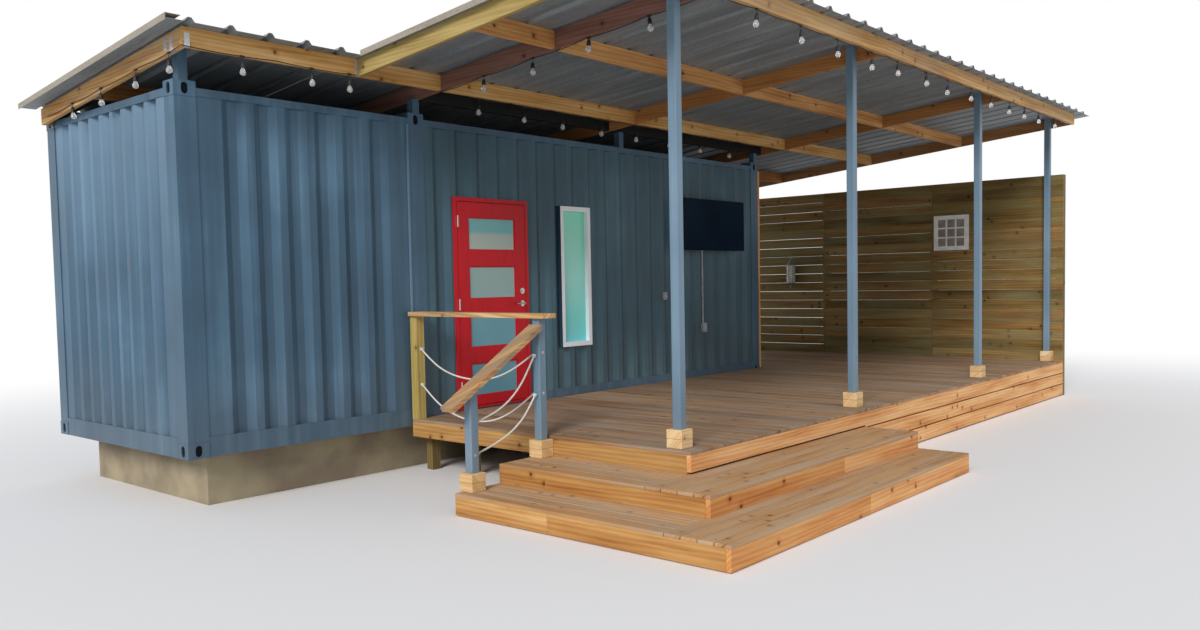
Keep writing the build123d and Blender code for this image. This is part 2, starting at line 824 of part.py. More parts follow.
def rope_tube(name, route):
    """Rope through its route: straight runs joined by arcs as large as the runs allow."""
    points = [Vector(*point) for point in route]
    runs = [b - a for a, b in zip(points, points[1:])]
    radii = []
    for first, second in zip(runs, runs[1:]):
        half_turn = math.radians(first.get_angle(second) / 2)
        radii.append(arc_share * min(first.length, second.length) / math.tan(half_turn))
    path = FilletPolyline(*points, radius=radii)
    section = Plane(path @ 0, z_dir=path % 0) * RegularPolygon(rope_radius, cord_sides)
    tube_solid = sweep(section, path=path)
    print(name, "length", round(path.length), "radii", [round(r) for r in radii],
          "volume share", round(tube_solid.volume / (section.area * path.length), 4))
    return tube_solid


def knot(route, post_face, axis):
    """Knot at the start of a route: a round barrel that ends flat where the rope begins, and its
    shank to the post.

    post_face is the coordinate of the post's face on the axis, 0 for X and 1 for Y."""
    start, following = Vector(*route[0]), Vector(*route[1])
    along = (following - start).normalized()
    barrel = None
    for side in (1, -1):
        middle = Plane(start - along * knot_half, z_dir=along * side)
        end = middle.offset(knot_half) * RegularPolygon(knot_end_radius, cord_sides)
        half = loft([middle * RegularPolygon(knot_radius, cord_sides), end], ruled=True)
        barrel = barrel + half if barrel else half
    centre = start - along * knot_half
    reach = post_face - (centre.X, centre.Y)[axis]
    toward = [0, 0, 0]
    toward[axis] = math.copysign(1, reach)
    shank_face = Plane(centre, z_dir=tuple(toward)) * RegularPolygon(knot_shank_radius, cord_sides)
    shank = extrude(shank_face, abs(reach))
    space_size = 4 * knot_radius
    keep = [centre.X, centre.Y, centre.Z]
    keep[axis] = post_face - math.copysign(space_size / 2, reach)
    return (barrel + shank) & (Pos(*keep) * Box(space_size, space_size, space_size))


def rope_rails():
    """Two ropes on the landing and two beside the steps, each tied between two knots."""
    front_of_wall_post = -deck_wall_gap - wall_post
    back_of_upper = stair_post_y + tube / 2
    left_of_upper = upper_post_x - tube / 2
    right_of_lower = lower_post_x + tube / 2
    routes = {
        "landing_rope_upper": (landing_upper_route, (front_of_wall_post, 1), (back_of_upper, 1)),
        "landing_rope_lower": (landing_lower_route, (front_of_wall_post, 1), (back_of_upper, 1)),
        "stair_rope_upper": (stair_upper_route, (left_of_upper, 0), (right_of_lower, 0)),
        "stair_rope_lower": (stair_lower_route, (left_of_upper, 0), (right_of_lower, 0)),
    }
    nodes = {"rope_knots": []}
    for name, (route, start, finish) in routes.items():
        nodes[name] = [rope_tube(name, route)]
        nodes["rope_knots"] += [knot(route, *start), knot(route[::-1], *finish)]
    return nodes


def sloped(x0, x1, y0, y1, drop, rise):
    """Timber or sheet body that follows the roof slope, between drop and rise above its line."""
    outline = Polyline(
        (y0, timber_line(y0) + drop), (y1, timber_line(y1) + drop),
        (y1, timber_line(y1) + rise), (y0, timber_line(y0) + rise), close=True)
    face = Plane((x0, 0, 0), x_dir=(0, 1, 0), z_dir=(1, 0, 0)) * make_face(outline)
    return extrude(face, x1 - x0)


def cross_beams(y, xs):
    """Timbers along X at one depth, between the given (left, right) pairs."""
    return [sloped(a, b, y, y + timber, 0, timber_height) for a, b in xs]


def roof_frame():
    """Rafters, cross beams, edge beams and the stub posts on the containers' front rail."""
    half = timber / 2
    roof_back = rear_beam_front + timber
    shell = block_at(0, total_length, rail_inset, container_width + timber, 0, up(shell_top))
    for corner in corners:
        shell += corner_box(*corner, up(wall_top), up(container_height))
    rake_tail = wall_beam_front
    lounge_back = rear_beam_front
    rafters = [sloped(rake_rafter_x - half, rake_rafter_x + half, fascia_beam_back, rake_tail,
                      0, timber_height)]
    for x in rafter_x:
        tail = lounge_back if x > total_length else roof_back
        rafters.append(sloped(x - half, x + half, fascia_beam_back, tail, 0, timber_height)
                       - shell)
    edges = [rake_rafter_x] + list(rafter_x)
    bays = [(a + half, b - half) for a, b in zip(edges, edges[1:])]
    rake_in = rake_beam_left + timber
    wall_bays = [(rake_beam_left, rafter_x[0] - half)] + bays[1:]
    over_bays = [(rake_in, rafter_x[0] - half)] + bays[1:]
    closed_bays = over_bays[:-2] + [(over_bays[-2][0], total_length)]
    ledger = [beam - shell for beam in cross_beams(rear_beam_front, closed_bays)]
    inner = cross_beams(porch_beam_front, bays) + ledger
    inner += cross_beams(container_beam_front, over_bays[1:-1])
    inner += cross_beams(back_beam_front, over_bays)
    inner += cross_beams(rear_beam_front, [(total_length, deck_right + wall_post)])
    fascia = sloped(rake_rafter_x - half, beam_right + fascia_beam_overhang, fascia_beam_front,
                    fascia_beam_back, 0, timber_height)
    rake = sloped(rake_beam_left, rake_in, wall_beam_front + timber, roof_back,
                  0, timber_height)
    stubs = []
    for x in stub_x:
        middle = x + stub / 2
        y = stub_y + stub / 2
        low = up(container_height) if x < total_length and on_casting(x) else up(shell_top)
        rise = timber_height if x == stub_left else 0
        shaft = square_tube(middle, y, low, timber_line(0) + 2 * timber_height, stub, 0)
        stubs.append(shaft & below_roof(middle, y, stub, rise))
    return {
        "rafters": rafters,
        "wall_line_beams": cross_beams(wall_beam_front, wall_bays),
        "cross_beams": inner,
        "roof_edge_beams": [fascia, rake],
        "roof_stubs": stubs,
    }


def on_casting(x):
    """Whether a stub post at x stands on a front corner casting."""
    spans = ((0, casting_length), (long_start, long_start + casting_length),
             (total_length - casting_length, total_length))
    return any(a < x + stub and x < b for a, b in spans)


def ribbed_sheet(x0, x1, y0, y1):
    """Ribbed roof sheet lying on the timbers, ribs running down the slope."""
    length = x1 - x0
    ribs = int(length // sheet_pitch)
    margin = (length - (ribs - 1) * sheet_pitch) / 2
    slant = (sheet_rib_base - sheet_rib_top) / 2
    line = [(0, 0)]
    for i in range(ribs):
        start = margin + i * sheet_pitch - sheet_rib_base / 2
        line += [(start, 0), (start + slant, sheet_rib),
                 (start + slant + sheet_rib_top, sheet_rib), (start + sheet_rib_base, 0)]
    line.append((length, 0))
    top = [(s, h + sheet_steel) for s, h in reversed(line)]
    flat = make_face(Polyline(*line, *top, close=True))
    lift = timber_line(y0) + timber_height + sheet_gap
    start = Plane((x0, y0, lift), x_dir=(1, 0, 0), z_dir=(0, -1, 0)) * flat
    return extrude(start, y1 - y0, dir=(0, 1, -slope))


def roof_sheets():
    """The two roof sheets and the folded flashings along their left edges."""
    main = ribbed_sheet(main_sheet_left, main_sheet_right, main_sheet_front, sheet_rear)
    left = ribbed_sheet(left_sheet_left, main_sheet_left - flashing_steel, left_sheet_front,
                        sheet_rear)
    top = timber_height + sheet_gap + sheet_steel
    crest = top + sheet_rib
    low = crest - flashing_height
    flashings = []
    for x, front, back in ((left_sheet_left, left_sheet_front, sheet_rear),
                           (main_sheet_left, main_sheet_front, left_sheet_front)):
        wall = sloped(x - flashing_steel, x, front, back, low, crest)
        cover = sloped(x - flashing_steel, x + flashing_cover, front, back,
                       crest, crest + flashing_steel)
        flashings.append(wall + cover)
    return {"main_roof_sheet": [main], "left_roof_sheet": [left], "roof_flashings": flashings}


def screen():
    """Board screen on timber posts along the deck's right end, and the container's corner board."""
    pitch = screen_board + screen_gap
    boards = [block_at(screen_x, deck_right, deck_front, deck_back, deck_top + i * pitch,
                       deck_top + i * pitch + screen_board) for i in range(screen_boards)]
    top = deck_top + screen_boards * pitch - screen_gap
    half = wall_post / 2
    span = (deck_right, deck_right + wall_post)
    uprights = [block_at(*span, y - half, y + half, 0, top) for y in screen_post_y]
    rear_y = rear_beam_front + timber / 2
    tall = block_at(*span, rear_y - half, rear_y + half, 0, timber_line(rear_y - half))
    tall -= sloped(*span, rear_y - wall_post, rear_y + wall_post, 0, timber_height)
    uprights.append(tall)
    corner = block_at(total_length, total_length + corner_board, 0, corner_board_depth,
                      deck_top, up(wall_top))
    return {"screen_boards": boards, "screen_posts": uprights, "corner_board": [corner]}


def television():
    """Flat television on a wall bracket."""
    back = skin_inset - tv_standoff
    front = back - tv_thickness
    low = up(tv_bottom)
    panel = block_at(tv_left, tv_left + tv_width, front, back, low, low + tv_height)
    panel -= block_at(tv_left + tv_bezel, tv_left + tv_width - tv_bezel, front,
                      front + tv_screen_recess, low + tv_bezel, low + tv_height - tv_bezel)
    middle_x = tv_left + tv_width / 2
    middle_z = low + tv_height / 2
    half = tv_bracket / 2
    panel += block_at(middle_x - half, middle_x + half, back, skin_inset,
                      middle_z - half / 2, middle_z + half / 2)
    return {"outdoor_television": [panel]}


def pane_frame():
    """Nine-pane frame hung on the screen, its panes as shallow recesses."""
    x1 = screen_x
    x0 = x1 - pane_thickness
    y0 = pane_y - pane_size / 2
    z0 = up(pane_bottom)
    frame = block_at(x0, x1, y0, y0 + pane_size, z0, z0 + pane_size)
    cell = (pane_size - 2 * pane_border - 2 * pane_bar) / 3
    for i in range(3):
        for j in range(3):
            y = y0 + pane_border + i * (cell + pane_bar)
            z = z0 + pane_border + j * (cell + pane_bar)
            frame -= block_at(x0, x0 + pane_thickness / 2, y, y + cell, z, z + cell)
    return {"pane_frame": [frame]}


def lantern():
    """Small six-sided wall lantern with a pitched cap."""
    x = screen_x - lantern_plate - lantern_radius
    base = up(lantern_bottom)
    plate_low, plate_high = (base + h for h in lantern_plate_span)
    plate = block_at(screen_x - lantern_plate, screen_x, lantern_y - lantern_plate_half,
                     lantern_y + lantern_plate_half, plate_low, plate_high)
    foot = Pos(x, lantern_y, base)
    cage = foot * extrude(RegularPolygon(lantern_cage_radius, 6), lantern_cage_height)
    shrink = (lantern_radius - lantern_tip_radius) * math.cos(math.pi / 6)
    taper = math.degrees(math.atan2(shrink, lantern_cap_height))
    cap = Pos(x, lantern_y, base + lantern_cage_height) * extrude(
        RegularPolygon(lantern_radius, 6), lantern_cap_height, taper=taper)
    arm_low, arm_high = (base + h for h in lantern_arm_span)
    arm = block_at(x, screen_x - lantern_plate, lantern_y - lantern_arm_half,
                   lantern_y + lantern_arm_half, arm_low, arm_high)
    return {"wall_lantern": [plate + cage + cap + arm]}


def cable(points, radii):
    """Light cable through the given points, with arcs of the given radii at its corners."""
    if radii:
        path = FilletPolyline(*points, radius=radii)
    else:
        path = Line(*points)
    section = Plane(path @ 0, z_dir=path % 0) * RegularPolygon(cable_radius, cord_sides)
    return sweep(section, path=path)


def light_cables():
    """Light cables: round the left roof edge, under the first rafter and the front beam, and
    under the beam along the container."""
    off = cable_radius + clip_gap
    clip_height = timber_height * cable_height_share
    rear_y = container_width - cable_lead
    rake_x = rake_beam_left - off
    front_y = wall_beam_front - off
    corner = Vector(rake_beam_left - cable_corner_out, wall_beam_front - cable_corner_out, 0)
    lead_y = wall_beam_front + cable_lead
    lead_x = rake_beam_left + cable_lead
    end_x = rake_rafter_x - timber
    round_corner = cable(
        [(rake_x, rear_y, timber_line(rear_y) + clip_height),
         (rake_x, lead_y, timber_line(lead_y) + clip_height),
         (corner.X, corner.Y, timber_line(corner.Y) + clip_height),
         (lead_x, front_y, timber_line(wall_beam_front) + clip_height),
         (end_x, front_y, timber_line(wall_beam_front) + clip_height)],
        [cable_lead_arc, cable_corner, cable_lead_arc])
    under_x = rafter_x[0]
    beam_y = fascia_beam_front + timber / 2
    start_y = wall_beam_front + timber
    right_x = beam_right - timber
    porch_run = cable(
        [(under_x, start_y, timber_line(start_y) - off),
         (under_x, beam_y, timber_line(beam_y) - off),
         (right_x, beam_y, timber_line(beam_y) - off)],
        [cable_corner])
    wall_y = wall_beam_front + timber / 2
    wall_run = cable([(under_x + cable_lead, wall_y, timber_line(wall_y) - off),
                      (rafter_x[2], wall_y, timber_line(wall_y) - off)], None)
    return {"light_cables": [round_corner, porch_run, wall_run]}


def write(nodes):
    """Writes each node as one STEP file, moved to the middle of the footprint."""
    os.makedirs("parts", exist_ok=True)
    place = Pos(-origin_x, -origin_y, 0)
    for name, solids in nodes.items():
        pieces = [place * solid for shape in solids for solid in shape.solids()]
        shape = pieces[0] if len(pieces) == 1 else Compound(children=pieces)
        shape.label = name
        export_step(shape, f"parts/{name}.step")
    print("nodes", len(nodes), "origin", round(origin_x, 1), round(origin_y, 1))


all_nodes = {}
for group in (foundation, container_shell, floors, door_frame, door_leaf, hinges, lockset, window,
              deck, steps, posts, rails, rope_rails, roof_frame, roof_sheets, screen, television,
              pane_frame, lantern, light_cables):
    all_nodes.update(group())
write(all_nodes)
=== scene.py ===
import math
import random

import bmesh
import bpy
from mathutils import Matrix, Vector


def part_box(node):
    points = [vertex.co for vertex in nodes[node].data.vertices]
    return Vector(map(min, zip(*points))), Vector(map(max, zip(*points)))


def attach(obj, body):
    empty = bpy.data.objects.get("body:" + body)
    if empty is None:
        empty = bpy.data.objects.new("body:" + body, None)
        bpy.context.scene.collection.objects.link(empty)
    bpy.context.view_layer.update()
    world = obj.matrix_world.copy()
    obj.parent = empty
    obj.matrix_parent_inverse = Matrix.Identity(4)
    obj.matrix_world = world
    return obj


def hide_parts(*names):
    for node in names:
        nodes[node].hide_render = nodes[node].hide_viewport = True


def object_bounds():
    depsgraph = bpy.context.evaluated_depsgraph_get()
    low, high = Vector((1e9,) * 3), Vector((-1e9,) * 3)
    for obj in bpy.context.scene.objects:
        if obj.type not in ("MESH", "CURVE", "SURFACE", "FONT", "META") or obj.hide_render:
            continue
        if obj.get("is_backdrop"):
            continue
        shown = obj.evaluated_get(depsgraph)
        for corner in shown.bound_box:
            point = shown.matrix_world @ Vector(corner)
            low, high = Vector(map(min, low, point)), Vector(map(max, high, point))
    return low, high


# container cabin with a timber deck, dressed round its CAD parts
# metres, X to the right along the front, Y to the back, Z up from the ground
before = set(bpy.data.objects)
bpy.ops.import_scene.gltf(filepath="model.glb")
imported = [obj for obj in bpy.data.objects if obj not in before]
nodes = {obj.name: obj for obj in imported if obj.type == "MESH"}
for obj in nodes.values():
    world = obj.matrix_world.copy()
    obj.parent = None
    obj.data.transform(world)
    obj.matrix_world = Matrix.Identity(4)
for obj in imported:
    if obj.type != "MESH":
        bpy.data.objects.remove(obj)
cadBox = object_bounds()
scene = bpy.context.scene
scene.view_settings.view_transform = "Standard"
deckLow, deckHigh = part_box("deck_boards")
deckCorner = (2.161, -3.162)  # its front left corner, measured from the container's front left foot
originX, originY = deckLow.x - deckCorner[0], deckLow.y - deckCorner[1]
roofLine = {"height": 3.447, "fall": 0.096}  # underside of the roof timbers, falling towards the back
quarterTurn = Matrix.Rotation(math.pi / 2, 4, "Z")
turnUp = Matrix(((0, 0, 1, 0), (1, 0, 0, 0), (0, 1, 0, 0), (0, 0, 0, 1)))  # along Y, stacked along Z
print("stage: frame loaded,", len(nodes), "nodes")


# helpers
def spot(x, y, z):
    # a place measured from the container's front left foot
    return Vector((originX + x, originY + y, z))


def timberUnder(y):
    return roofLine["height"] - roofLine["fall"] * y


def toLinear(hexColour):
    channels = [int(hexColour[i:i + 2], 16) / 255 for i in (1, 3, 5)]
    curved = [c / 12.92 if c <= 0.04045 else ((c + 0.055) / 1.055) ** 2.4 for c in channels]
    return (*curved, 1.0)


def outputOf(source):
    # a node stands for the first output that it has in use
    return next(o for o in source.outputs if o.enabled) if isinstance(source, bpy.types.Node) else source


def addNode(tree, kind, settings={}):
    # a setting is a property, an input's value, or the node or socket that the input is linked to
    node = tree.nodes.new(kind if "Node" in kind else "ShaderNode" + kind)
    for key, value in settings.items():
        value = outputOf(value)
        if isinstance(value, bpy.types.NodeSocket):
            tree.links.new(value, node.inputs[key])
        elif key == "stops":  # colour ramp as (place, colour or grey) pairs
            ramp = node.color_ramp
            while len(ramp.elements) < len(value):
                ramp.elements.new(1.0)
            for element, (place, colour) in zip(ramp.elements, value):
                element.position = place
                element.color = toLinear(colour) if isinstance(colour, str) else (colour,) * 3 + (1,)
        elif isinstance(key, int) or key in node.inputs.keys():
            node.inputs[key].default_value = value
        else:
            setattr(node, key, value)
    return node


def adder(tree):
    return lambda kind, settings={}: addNode(tree, kind, settings)


def startMaterial(name, settings):
    material = bpy.data.materials.new(name)
    material.use_nodes = True
    shader = material.node_tree.nodes["Principled BSDF"]
    for key, value in settings.items():
        shader.inputs[key].default_value = value
    return material, adder(material.node_tree), shader


def finishMaterial(material, shader, colour, rough, bump):
    for key, source in (("Base Color", colour), ("Roughness", rough), ("Normal", bump)):
        material.node_tree.links.new(outputOf(source), shader.inputs[key])
    return material


def addObject(name, mesh):
    piece = bpy.data.objects.new(name, mesh)
    scene.collection.objects.link(piece)
    return piece


def meshOf(name, build):
    mesh = bpy.data.meshes.new(name)
    shape = bmesh.new()
    build(shape)
    shape.to_mesh(mesh)
    shape.free()
    return mesh


def smooth(mesh, degrees):
    mesh.shade_smooth()
    mesh.set_sharp_from_angle(angle=math.radians(degrees))


def addBox(shape, low, high, edge=0.0, segments=2):
    made = bmesh.ops.create_cube(shape, size=1.0)["verts"]
    bmesh.ops.scale(shape, vec=[b - a for a, b in zip(low, high)], verts=made)
    bmesh.ops.translate(shape, vec=[(a + b) / 2 for a, b in zip(low, high)], verts=made)
    if edge:
        edges = list({e for v in made for e in v.link_edges})
        bmesh.ops.bevel(shape, geom=edges, offset=edge, segments=segments, profile=0.5, affect="EDGES")


def skin(shape, rings, closed=False):
    # walls from ring to ring, with a cap at either end unless they run round to the start
    rings = [[shape.verts.new(point) for point in ring] for ring in rings]
    for lower, upper in zip(rings, rings[1:] + (rings[:1] if closed else [])):
        for i in range(len(lower)):
            j = (i + 1) % len(lower)
            shape.faces.new((lower[i], lower[j], upper[j], upper[i]))
    if not closed:
        shape.faces.new(list(reversed(rings[0])))
        shape.faces.new(rings[-1])


def circle(count):
    return [2 * math.pi * i / count for i in range(count)]


def lathe(shape, profile, sides, centre=(0, 0, 0)):
    x, y, z = centre
    skin(shape, [[(x + radius * math.cos(a), y + radius * math.sin(a), z + rise) for a in circle(sides)]
                 for radius, rise in profile])


def addTube(shape, points, radius, sides, closed=False, twist=0.0, phase=0.0, offset=0.0):
    # round tube along points, or a strand wound round them at the given offset
    normal, rings = None, []
    for i, point in enumerate(points):
        before = points[i - 1] if i or closed else point
        after = points[(i + 1) % len(points)] if i < len(points) - 1 or closed else point
        along = (after - before).normalized()
        if normal is None:
            side = Vector((0, 0, 1)) if abs(along.z) < 0.9 else Vector((1, 0, 0))
            normal = along.cross(side).normalized()
        else:
            normal = (normal - along * normal.dot(along)).normalized()
        across = along.cross(normal)
        turn = twist * i + phase
        centre = point + (normal * math.cos(turn) + across * math.sin(turn)) * offset
        rings.append([centre + (normal * math.cos(a + phase) + across * math.sin(a + phase)) * radius
                      for a in circle(sides)])
    skin(shape, rings, closed)


def grown(name, group, source, inputs):
    # runs a node group on a mesh and keeps the result as a plain mesh
    carrier = addObject(name + "Carrier", source)
    modifier = carrier.modifiers.new("grow", "NODES")
    modifier.node_group = group
    for item in group.interface.items_tree:
        if item.item_type == "SOCKET" and item.in_out == "INPUT" and item.name in inputs:
            modifier[item.identifier] = inputs[item.name]
    graph = bpy.context.evaluated_depsgraph_get()
    mesh = bpy.data.meshes.new_from_object(carrier.evaluated_get(graph), preserve_all_data_layers=True,
                                           depsgraph=graph)
    bpy.data.objects.remove(carrier)
    mesh.name = name
    return addObject(name, mesh)


def joined(name, pieces):
    first = pieces[0]
    with bpy.context.temp_override(active_object=first, object=first, selected_objects=pieces,
                                   selected_editable_objects=pieces):
        bpy.ops.object.join()
    first.name = name
    first.data.name = name
    return first


def finished(piece, slot, *replaced):
    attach(piece, "cabin")
    if replaced:
        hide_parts(*replaced)
    return piece


def addPiece(name, build, material, slot, *replaced, rounded=0):
    # a finished piece from its builder; edges flatter than the rounded angle are shaded smooth
    mesh = meshOf(name, build)
    mesh.materials.append(material)
    if rounded:
        smooth(mesh, rounded)
    return finished(addObject(name, mesh), slot, *replaced)


# camera, light and floor
camera = {
    "place": (-3.5933, -7.2641, 1.7277),
    "heading": 48.8755,  # degrees from straight back towards the right
    "tilt": -3.0415,
    "roll": -1.1206,
    "lens": 29.554,
    "shift": (0.00659, 0.01579),
    "far": 200,
}
heading, tilt, roll = (math.radians(camera[k]) for k in ("heading", "tilt", "roll"))
lookAt = Vector((math.sin(heading) * math.cos(tilt), math.cos(heading) * math.cos(tilt), math.sin(tilt)))
level = Vector((math.cos(heading), -math.sin(heading), 0))
upright = level.cross(lookAt)
cameraRight = level * math.cos(roll) + upright * math.sin(roll)
cameraUp = upright * math.cos(roll) - level * math.sin(roll)
cameraData = bpy.data.cameras.new("camera")
cameraData.sensor_width = 36
cameraData.lens = camera["lens"]
cameraData.shift_x, cameraData.shift_y = camera["shift"]
cameraData.clip_end = camera["far"]
cameraObject = addObject("camera", cameraData)
turned = Matrix((cameraRight, cameraUp, -lookAt)).transposed()
cameraObject.matrix_world = Matrix.Translation(spot(*camera["place"])) @ turned.to_4x4()
scene.camera = cameraObject

light = {
    "sky": 0.60,
    "skyColour": "#e6effc",
    "sun": 2.4,
    "sunColour": "#faf8fa",
    "sunSpread": 22,  # degrees, a wide source gives soft shadows
    "sunFrom": (-0.78, -0.31, 0.54),
}
plainWhite = {"Color": (1, 1, 1, 1), "Strength": 1.0}
world = bpy.data.worlds.new("studio")
world.use_nodes = True
scene.world = world
sky = world.node_tree
add = adder(sky)
background = sky.nodes["Background"]
background.inputs["Color"].default_value = toLinear(light["skyColour"])
background.inputs["Strength"].default_value = light["sky"]
ray = add("LightPath").outputs
seen = add("Math", {"operation": "MAXIMUM", 0: ray["Is Camera Ray"], 1: ray["Is Transmission Ray"]})
seen = add("Math", {"operation": "MAXIMUM", 0: seen, 1: ray["Is Glossy Ray"]})
mixed = add("MixShader", {0: seen, 1: background, 2: add("Background", plainWhite)})
sky.links.new(mixed.outputs[0], sky.nodes["World Output"].inputs["Surface"])

sunData = bpy.data.lights.new("sun", "SUN")
sunData.energy = light["sun"]
sunData.color = toLinear(light["sunColour"])[:3]
sunData.angle = math.radians(light["sunSpread"])
sun = addObject("sun", sunData)
sun.rotation_mode = "QUATERNION"
sun.rotation_quaternion = Vector(light["sunFrom"]).to_track_quat("Z", "Y")

# the camera sees the floor pale out to white between near and far
floor = {"half": 60.0, "colour": "#efece7", "below": 0.001, "near": 7.0, "far": 15.0}
floorMaterial, add, shader = startMaterial("paleFloor", {
    "Base Color": toLinear(floor["colour"]), "Roughness": 0.9})
away = add("VectorMath", {"operation": "LENGTH", 0: add("TexCoord").outputs["Object"]}).outputs["Value"]
fade = add("MapRange", {"interpolation_type": "SMOOTHSTEP", "From Min": floor["near"], "From Max": floor["far"],
                        "Value": away})
fade = add("Math", {"operation": "MULTIPLY", 0: fade, 1: add("LightPath").outputs["Is Camera Ray"]})
blended = add("MixShader", {0: fade, 1: shader, 2: add("Emission", plainWhite)})
floorTree = floorMaterial.node_tree
floorTree.links.new(blended.outputs[0], floorTree.nodes["Material Output"].inputs["Surface"])
floorMesh = meshOf("floor", lambda s: bmesh.ops.create_grid(s, x_segments=1, y_segments=1, size=floor["half"]))
floorMesh.materials.append(floorMaterial)
floorMesh.transform(Matrix.Translation((0, 0, -floor["below"])))
floorPiece = addObject("floor", floorMesh)
floorPiece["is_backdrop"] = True
print("stage: camera, light and floor")


# materials
multiplied = {"data_type": "RGBA", "blend_type": "MULTIPLY", 0: 1.0}
multiply, multiplyAdd = {"operation": "MULTIPLY"}, {"operation": "MULTIPLY_ADD"}


def timber(name, look, along="x", own=False):
    # sawn softwood: growth rings along the board, fine fibres, knots with dark rims
    material, add, shader = startMaterial(name, {"Specular IOR Level": 0.3})
    turns = {"x": (0, 0, 0), "y": (0, 0, -math.pi / 2), "z": (0, math.pi / 2, 0)}
    objectPlace = add("TexCoord").outputs["Object"]
    place = add("Attribute", {"attribute_name": "grain"}).outputs["Vector"] if own else objectPlace
    grainPlace = add("Mapping", {"Rotation": turns[along], "Vector": place})
    if "crossedBelow" in look:  # timbers left of this place run front to back
        isCrossed = add("Math", {"operation": "LESS_THAN", 0: add("SeparateXYZ", {0: place}).outputs["X"],
                                 1: look["crossedBelow"]})
        grainPlace = add("Mix", {"data_type": "VECTOR", 0: isCrossed, 4: grainPlace,
                                 5: add("Mapping", {"Rotation": turns["y"], "Vector": place})})
    parts = add("SeparateXYZ", {0: grainPlace}).outputs
    across = add("Math", {"operation": "ADD", 0: parts["Y"], 1: parts["Z"]})
    flat = add("CombineXYZ", {"X": parts["X"], "Y": across})

    def drawnOut(scale, detail):
        # noise stretched along the board
        stretched = add("Mapping", {"Scale": scale, "Vector": flat})
        return add("TexNoise", {"noise_dimensions": "2D", "Scale": 1.0, "Detail": detail, "Vector": stretched})

    # growth rings cut flat, 20 to 40 mm apart on the face and drawn out along the board
    rings = add("TexWave", {"bands_direction": "Y", "Scale": 9.0, "Distortion": 9.0, "Detail": 4.0,
                            "Detail Scale": 0.7, "Vector": add("Mapping", {"Scale": (0.10, 1, 1), "Vector": flat})})
    rings = rings.outputs["Fac"]
    streaks = drawnOut((0.9, 11, 1), 4.0)  # 40 to 90 mm wide
    fibres = drawnOut((6, 300, 1), 3.0)  # 0.1 mm wide in truth, drawn 3 mm wide so that they show
    # round knots 12 to 25 mm across, in a few cells of a 140 mm net
    knots = add("TexVoronoi", {"voronoi_dimensions": "2D", "Scale": 1.0,
                               "Vector": add("Mapping", {"Scale": (7, 7, 1), "Vector": flat})})
    cells = add("SeparateColor", {0: knots.outputs["Color"]})
    kept = add("Math", {"operation": "LESS_THAN", 0: cells, 1: 0.12})
    knotCore, knotSkirt = (
        add("Math", {**multiply, 0: add("ValToRGB", {"stops": stops, "Fac": knots.outputs["Distance"]}), 1: kept})
        for stops in ([(0.0, 1.0), (0.07, 0.85), (0.12, 0.0)], [(0.0, 1.0), (0.16, 0.5), (0.34, 0.0)]))
    blend = add("Math", {**multiplyAdd, 0: rings, 1: 0.20, 2: streaks})
    blend = add("Math", {**multiplyAdd, 0: knotSkirt, 1: 0.35, 2: blend})
    body = add("ValToRGB", {"stops": [(0.36, look["pale"]), (0.66, look["middle"]), (1.0, look["dark"])],
                            "Fac": blend})
    fibreTint = add("ValToRGB", {"stops": [(0.3, look.get("fibreLow", 0.86)), (0.7, 1.0)], "Fac": fibres})
    colour = add("Mix", {**multiplied, 6: body, 7: fibreTint})
    colour = add("Mix", {"data_type": "RGBA", 0: knotCore, 6: colour, 7: toLinear(look["knot"])})
    if own:  # each board has a tone of its own
        tone = add("Attribute", {"attribute_name": "tone"}).outputs["Fac"]
        colour = add("Mix", {**multiplied, 6: colour, 7: add("ValToRGB", {"stops": look["tones"], "Fac": tone})})
    if "places" in look:  # painted light and shade: neighbouring timbers of one node get tints for the light each catches
        places = look["places"]
        share = add("MapRange", {"From Min": places["from"], "From Max": places["to"],
                                 "Value": add("SeparateXYZ", {0: objectPlace}).outputs[places["axis"]]})
        shade = add("ValToRGB", {"stops": places["stops"], "Fac": share})
        shade.color_ramp.interpolation = "CONSTANT"
        colour = add("Mix", {**multiplied, 6: colour, 7: shade})
    if "grey" in look:  # weathered grey patches from foot traffic and rain
        amount = add("MapRange", {"From Min": 0.38, "From Max": 0.66, "To Max": look["greyShare"],
                                  "Value": drawnOut((0.9, 5.0, 1), 5.0)})
        colour = add("Mix", {"data_type": "RGBA", 0: amount, 6: colour, 7: toLinear(look["grey"])})
    rough = add("MapRange", {"To Min": 0.62, "To Max": 0.86, "Value": fibres})
    height = add("Math", {**multiplyAdd, 0: fibres, 1: 0.5, 2: rings})
    bump = add("Bump", {"Strength": 0.35, "Distance": 0.0015, "Height": height})
    return finishMaterial(material, shader, colour, rough, bump)


